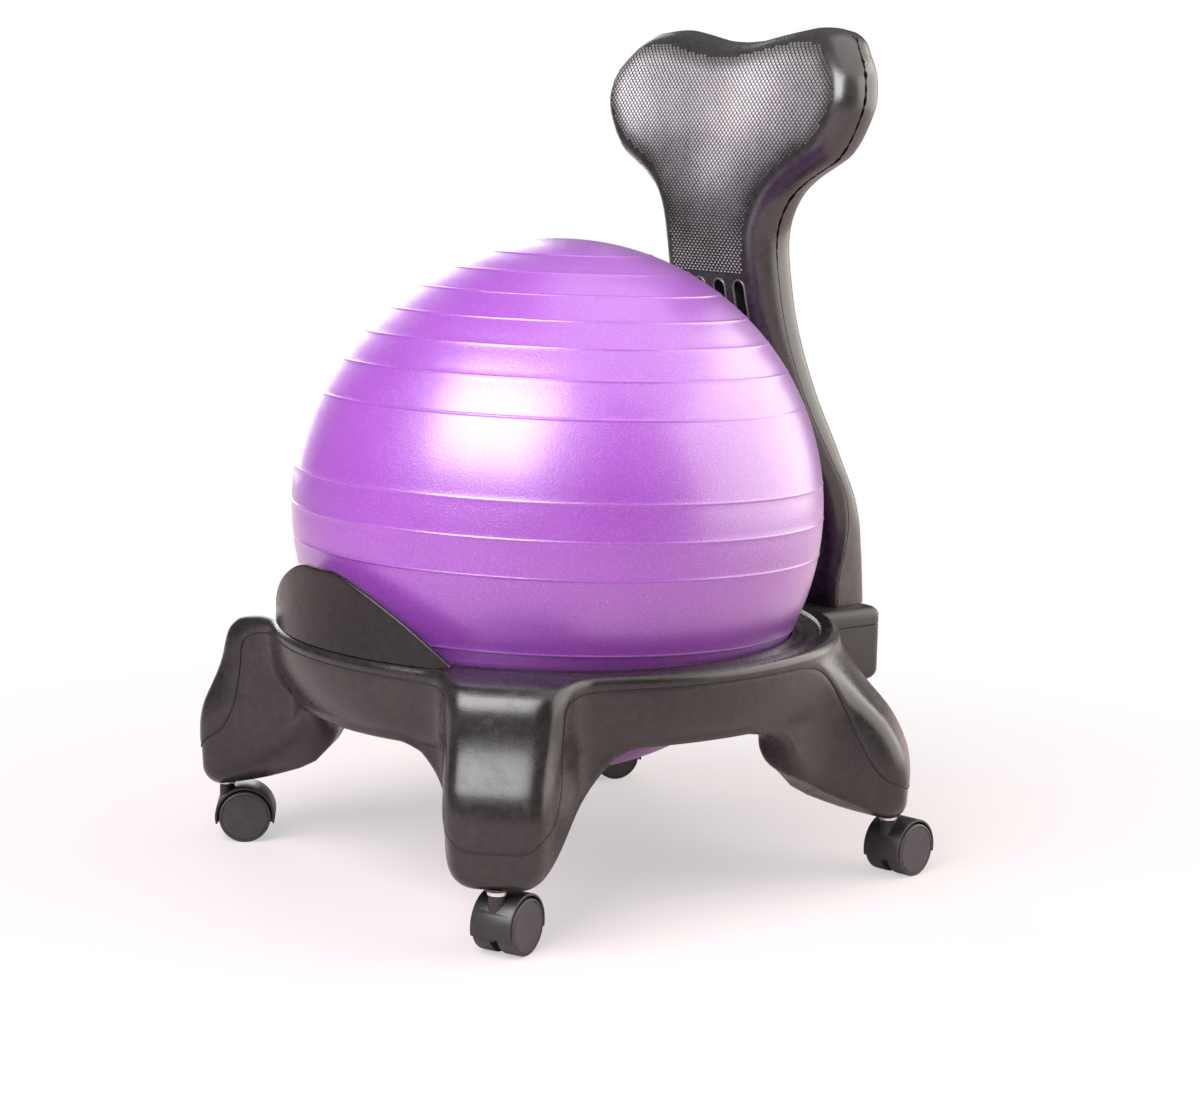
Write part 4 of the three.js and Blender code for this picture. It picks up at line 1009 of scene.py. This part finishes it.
paths, edges = [], []
for place in SLOT_PLACES:
    xs, zs = np.array(slot_outline(place, BEAD_GROWTH)).T
    start, count = len(paths), len(xs)
    paths += np.stack([xs, surface_at(xs, zs), zs], 1).tolist()
    edges += [(start + i, start + (i + 1) % count) for i in range(count)]
# The beads are coloured several times paler than the shell they are moulded with: a painted
# highlight on them.
bead_plastic = moulded_plastic(
    "bead_plastic", (0.06, 0.056, 0.06), (0.1, 0.095, 0.1), 0.3, 0.0009, 0.00002, specular=0.8,
)
beads = bead_along("vent_beads", paths, edges, BEAD_THICKNESS, bead_plastic)
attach(beads, "frame")

# Steel spine, bolts, washers and screws.
# A black-coated flat bar runs from the rear box up inside the column, and zinc-plated fasteners
# hold the shells to it and it to the box.
coated_steel = moulded_plastic(
    "spine_steel", (0.015, 0.015, 0.015), (0.022, 0.022, 0.022), 0.5, 0.0006, 0.00002,
)
zinc, g = new_finish("zinc_steel")
cloud = noise(g, 300, 3, 0.6)
principled(g, {
    "Base Color": blend_colours(g, cloud, (0.62, 0.62, 0.6, 1), (0.8, 0.8, 0.79, 1)),
    "Metallic": 1.0, "Roughness": 0.24 + 0.14 * cloud,
    "Normal": relief(g, noise(g, 1500, 2), 0.00002, 0.4),
})


def refinish(node, material):
    """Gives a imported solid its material."""
    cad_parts[node].data.materials.clear()
    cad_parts[node].data.materials.append(material)


refinish("back_spine", coated_steel)
for side in ("left", "right"):
    refinish(f"column_bolt_{side}", zinc)
    refinish(f"column_washer_{side}", zinc)
for number in range(1, 6):
    refinish(f"shell_screw_{number}", zinc)

# Casters.
# Each is a nylon twin-wheel caster: a plated stem with a collar, pressed into a socket in the leg,
# a hood over both wheels and two flat-faced wheels on one axle.
WHEEL_RADIUS = 25.0
TRAIL = 18.0
AXLE_BORE = 3.3
HOOD_RADIUS = 29.0
HOOD_WALL = 2.0
HOOD_HALF_WIDTH = 19.7
HOOD_BEVEL = 0.6
HOOD_SPAN = (math.radians(-14), math.radians(192))
WEB_RADIUS = 28.2
WEB_HALF_WIDTH = 3.5
WEB_FOOT = 16
WHEEL_ROOM = 26.3
STEM_BORE = 4.3
# How far the cuts of the hood run past it: sideways, down and along the axle.
CUT_REACH = 60
CUT_FLOOR = -20
ROOM_REACH = 40
SQUARE = [(-1, -1), (1, -1), (1, 1), (-1, 1)]
# Sleeve of the hood and stem with its collar, by radius and height, and half a wheel's section,
# by radius and distance from the caster's middle.
SLEEVE = [(0, 30), (6, 30), (7.2, 40), (7.2, 53.6), (6.8, 54), (0, 54)]
STEM = [
    (0, 43.5), (4, 43.5), (4, 54.6), (7.9, 54.6), (8.3, 55), (8.3, 58.0), (7.9, 58.3), (4, 58.3),
    (4, 88), (5.2, 93.4), (4, 98.6), (0, 98.6),
]
WHEEL = [
    (0, 21.0), (21.6, 21.0), (22.0, 20.5), (22.4, 20.5), (22.8, 21.2), (23.7, 21.1), (24.6, 20.5),
    (WHEEL_RADIUS, 19.6), (WHEEL_RADIUS, 5.0), (24.4, 3.8), (6.0, 3.8), (6.0, 4.3),
    (AXLE_BORE, 4.3), (AXLE_BORE, 17.9), (0, 17.9),
]
caster_plastic = moulded_plastic(
    "caster_plastic", (0.011, 0.0108, 0.0115), (0.019, 0.0187, 0.0195), 0.4, 0.0009, 0.00009,
)
wheel_plastic = moulded_plastic(
    "wheel_plastic", (0.022, 0.0205, 0.022), (0.035, 0.0325, 0.035), 0.46, 0.0009, 0.00006,
)
nylon = moulded_plastic(
    "socket_nylon", (0.03, 0.03, 0.03), (0.04, 0.04, 0.04), 0.5, 0.001, 0.00002,
)


def rod(radius, start, end):
    return [(0, start), (radius, start), (radius, end), (0, end)]


def across_axle(name, profile, segments=72):
    """Solid turned about the axle, from (radius, place along the axle) points."""
    points = [
        (along, TRAIL + r * math.cos(a), WHEEL_RADIUS + r * math.sin(a))
        for r, along in profile
        for a in np.linspace(0, 2 * math.pi, segments, endpoint=False)
    ]
    closed = profile[0][0] > 0
    return shell_mesh(name, points, grid_faces(len(profile), segments, closed, True), 35)


def hood_band():
    """Band of the hood that arches over both wheels."""
    inner, half, soft = HOOD_RADIUS - HOOD_WALL, HOOD_HALF_WIDTH, HOOD_BEVEL * 0.3
    section = [
        (HOOD_BEVEL - half, HOOD_RADIUS), (half - HOOD_BEVEL, HOOD_RADIUS),
        (half - soft, HOOD_RADIUS - soft), (half, HOOD_RADIUS - HOOD_BEVEL),
        (half, inner), (-half, inner),
        (-half, HOOD_RADIUS - HOOD_BEVEL), (soft - half, HOOD_RADIUS - soft),
    ]
    rings = []
    for turn in np.linspace(*HOOD_SPAN, 64):
        level, out = math.sin(turn), math.cos(turn)
        rings.append([(along, TRAIL - r * out, WHEEL_RADIUS + r * level) for along, r in section])
    return capped_rings("band", rings)


def hood_mesh():
    """Hood about the stem's axis: band, web between the wheels and the sleeve for the stem."""
    hood = turned("hood", SLEEVE)
    cut(hood, [across_axle("web", rod(WEB_RADIUS, -WEB_HALF_WIDTH, WEB_HALF_WIDTH), 64)], "UNION")
    below = capped_rings("below", [
        [(x * CUT_REACH, y * CUT_REACH, z) for x, y in SQUARE] for z in (CUT_FLOOR, WEB_FOOT)
    ])
    rooms = [
        across_axle("room", rod(WHEEL_ROOM, side * WEB_HALF_WIDTH, side * ROOM_REACH), 64)
        for side in (-1, 1)
    ]
    cut(hood, [below, *rooms])
    cut(hood, [hood_band()], "UNION")
    bore = turned("bore", rod(STEM_BORE, 42, 60), 32)
    return cut(hood, [bore, across_axle("axle_bore", rod(AXLE_BORE, -8, 8), 32)])


def wheel(name, side):
    return across_axle(name, [(r, side * along) for r, along in WHEEL])


def place_caster(pattern, name, x, y, heading):
    """Copy of a caster piece, turned to its heading and set under its leg."""
    home = Matrix.Translation(placed((x * STEM_PLACE, y * STEM_PLACE, 0))[0])
    turn = Matrix.Rotation(math.radians(heading), 4, "Z")
    piece = add_object(name, pattern.data.copy())
    piece.data.transform(home @ turn @ to_middle)
    piece.data.update()
    return piece


patterns = {
    "hood": (hood_mesh(), caster_plastic, "caster_plastic"),
    "stem": (turned("stem_pattern", STEM), zinc, "zinc_steel"),
    "outer_wheel": (wheel("outer_pattern", 1), wheel_plastic, "wheel_plastic"),
    "inner_wheel": (wheel("inner_pattern", -1), wheel_plastic, "wheel_plastic"),
}
for name, x, y, heading in CASTERS:
    riders = {
        "hood": f"{name}_caster", "stem": "frame",
        "outer_wheel": f"{name}_outer", "inner_wheel": f"{name}_inner",
    }
    for part, (pattern, material, slot) in patterns.items():
        piece = place_caster(pattern, f"{name}_{part}_skin", x, y, heading)
        piece.data.materials.clear()
        piece.data.materials.append(material)
        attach(piece, riders[part])
        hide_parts(f"{name}_{part}")
    refinish(f"{name}_socket", nylon)
    refinish(f"{name}_axle", zinc)
for pattern, _, _ in patterns.values():
    bpy.data.objects.remove(pattern)

# Studio.
# A pale floor that fades to white away from the chair, a white surround that lights it weakly, and
# four soft boxes: one in front to the left of the camera, a wide one above, a warm one to the
# right and a small one behind to the left.
FLOOR_REACH = 9
floor = add_object("floor", bpy.data.meshes.new("floor"))
corners = [(x * FLOOR_REACH, y * FLOOR_REACH, 0) for x, y in SQUARE]
floor.data.from_pydata(corners, [], [(0, 1, 2, 3)])
paper, g = new_finish("floor_paper")
place = g.node("ShaderNodeTexCoord", output="Object")
reach = g.node("ShaderNodeVectorMath", {"operation": "LENGTH"}, {0: place}, 1)
seen = g.node("ShaderNodeLightPath", output="Is Camera Ray")
lift = seen * (0.5 + 0.5 * between(g, reach, 0.35, 1.0))
# The floor's pink tint is a painted reflection of the ball's purple light, seen most in the shade
# under the chair.
diffuse = g.node("ShaderNodeBsdfDiffuse", None, {"Color": (0.56, 0.46, 0.475, 1)})
white = g.node("ShaderNodeEmission", None, {"Color": grey(1.0), "Strength": 1.0})
show(g, g.node("ShaderNodeMixShader", None, {0: lift, 1: diffuse, 2: white}))
floor.data.materials.append(paper)

world = bpy.data.worlds.new("studio")
bpy.context.scene.world = world
world.use_nodes = True
world.node_tree.nodes.clear()
g = Graph(world.node_tree)
seen = g.node("ShaderNodeLightPath", output="Is Camera Ray")
shade = g.node("ShaderNodeBackground", None, {"Color": grey(1.0), "Strength": 0.18})
bright = g.node("ShaderNodeBackground", None, {"Color": grey(1.0), "Strength": 1.0})
both = g.node("ShaderNodeMixShader", None, {0: seen, 1: shade, 2: bright})
g.node("ShaderNodeOutputWorld", None, {"Surface": both})


def soft_box(name, place, aim_height, size, watts, colour):
    """Rectangular lamp, unseen by the camera, aimed at a height on the upright axis."""
    lamp = bpy.data.lights.new(name, "AREA")
    lamp.shape = "RECTANGLE"
    lamp.size, lamp.size_y = size
    lamp.energy = watts
    lamp.color = colour
    holder = add_object(name, lamp)
    holder.location = place
    aim = Vector((0, 0, aim_height)) - Vector(place)
    holder.rotation_euler = aim.to_track_quat("-Z", "Y").to_euler()
    holder.visible_camera = False


soft_box("key_box", (0.66, -1.89, 2.0), 0.34, (2.15, 1.9), 150, (1, 0.985, 0.99))
soft_box("top_box", (0.7, 0.9, 2.7), 0.3, (3.2, 3.2), 50, (1, 0.97, 0.95))
soft_box("right_box", (1.15, 2.15, 1.15), 0.5, (4.2, 2.3), 110, (1, 0.93, 0.86))
soft_box("left_box", (-2.45, 0.75, 0.95), 0.5, (1.5, 1.7), 32, (1, 0.98, 0.98))

# The camera stands in front of the chair, to its left. Its picture is measured in pixels.
CAMERA = Vector((1994.6, -1498.8 + MIDDLE_Y, 704.4)) * MILLIMETRE
PICTURE_WIDTH, PICTURE_HEIGHT = 1200, 1104
PICTURE_CENTRE = (556.93, 536.85)
FOCAL_LENGTH = 2673.8
azimuth, elevation, roll = math.radians(53.08), math.radians(8.97), math.radians(1.09)
back = Vector((
    math.sin(azimuth) * math.cos(elevation),
    -math.cos(azimuth) * math.cos(elevation),
    math.sin(elevation),
))
level = Vector((math.cos(azimuth), math.sin(azimuth), 0))
upright = back.cross(level)
right = math.cos(roll) * level + math.sin(roll) * upright
upward = -math.sin(roll) * level + math.cos(roll) * upright
lens = bpy.data.cameras.new("camera")
lens.sensor_width = 36
lens.lens = FOCAL_LENGTH / PICTURE_WIDTH * lens.sensor_width
lens.shift_x = (PICTURE_WIDTH / 2 - PICTURE_CENTRE[0]) / PICTURE_WIDTH
lens.shift_y = (PICTURE_CENTRE[1] - PICTURE_HEIGHT / 2) / PICTURE_WIDTH
lens.clip_end = 50
camera = add_object("camera", lens)
axes = Matrix((right, upward, back)).transposed().to_4x4()
camera.matrix_world = Matrix.Translation(CAMERA) @ axes
bpy.context.scene.camera = camera
bpy.context.scene.view_settings.view_transform = "Standard"
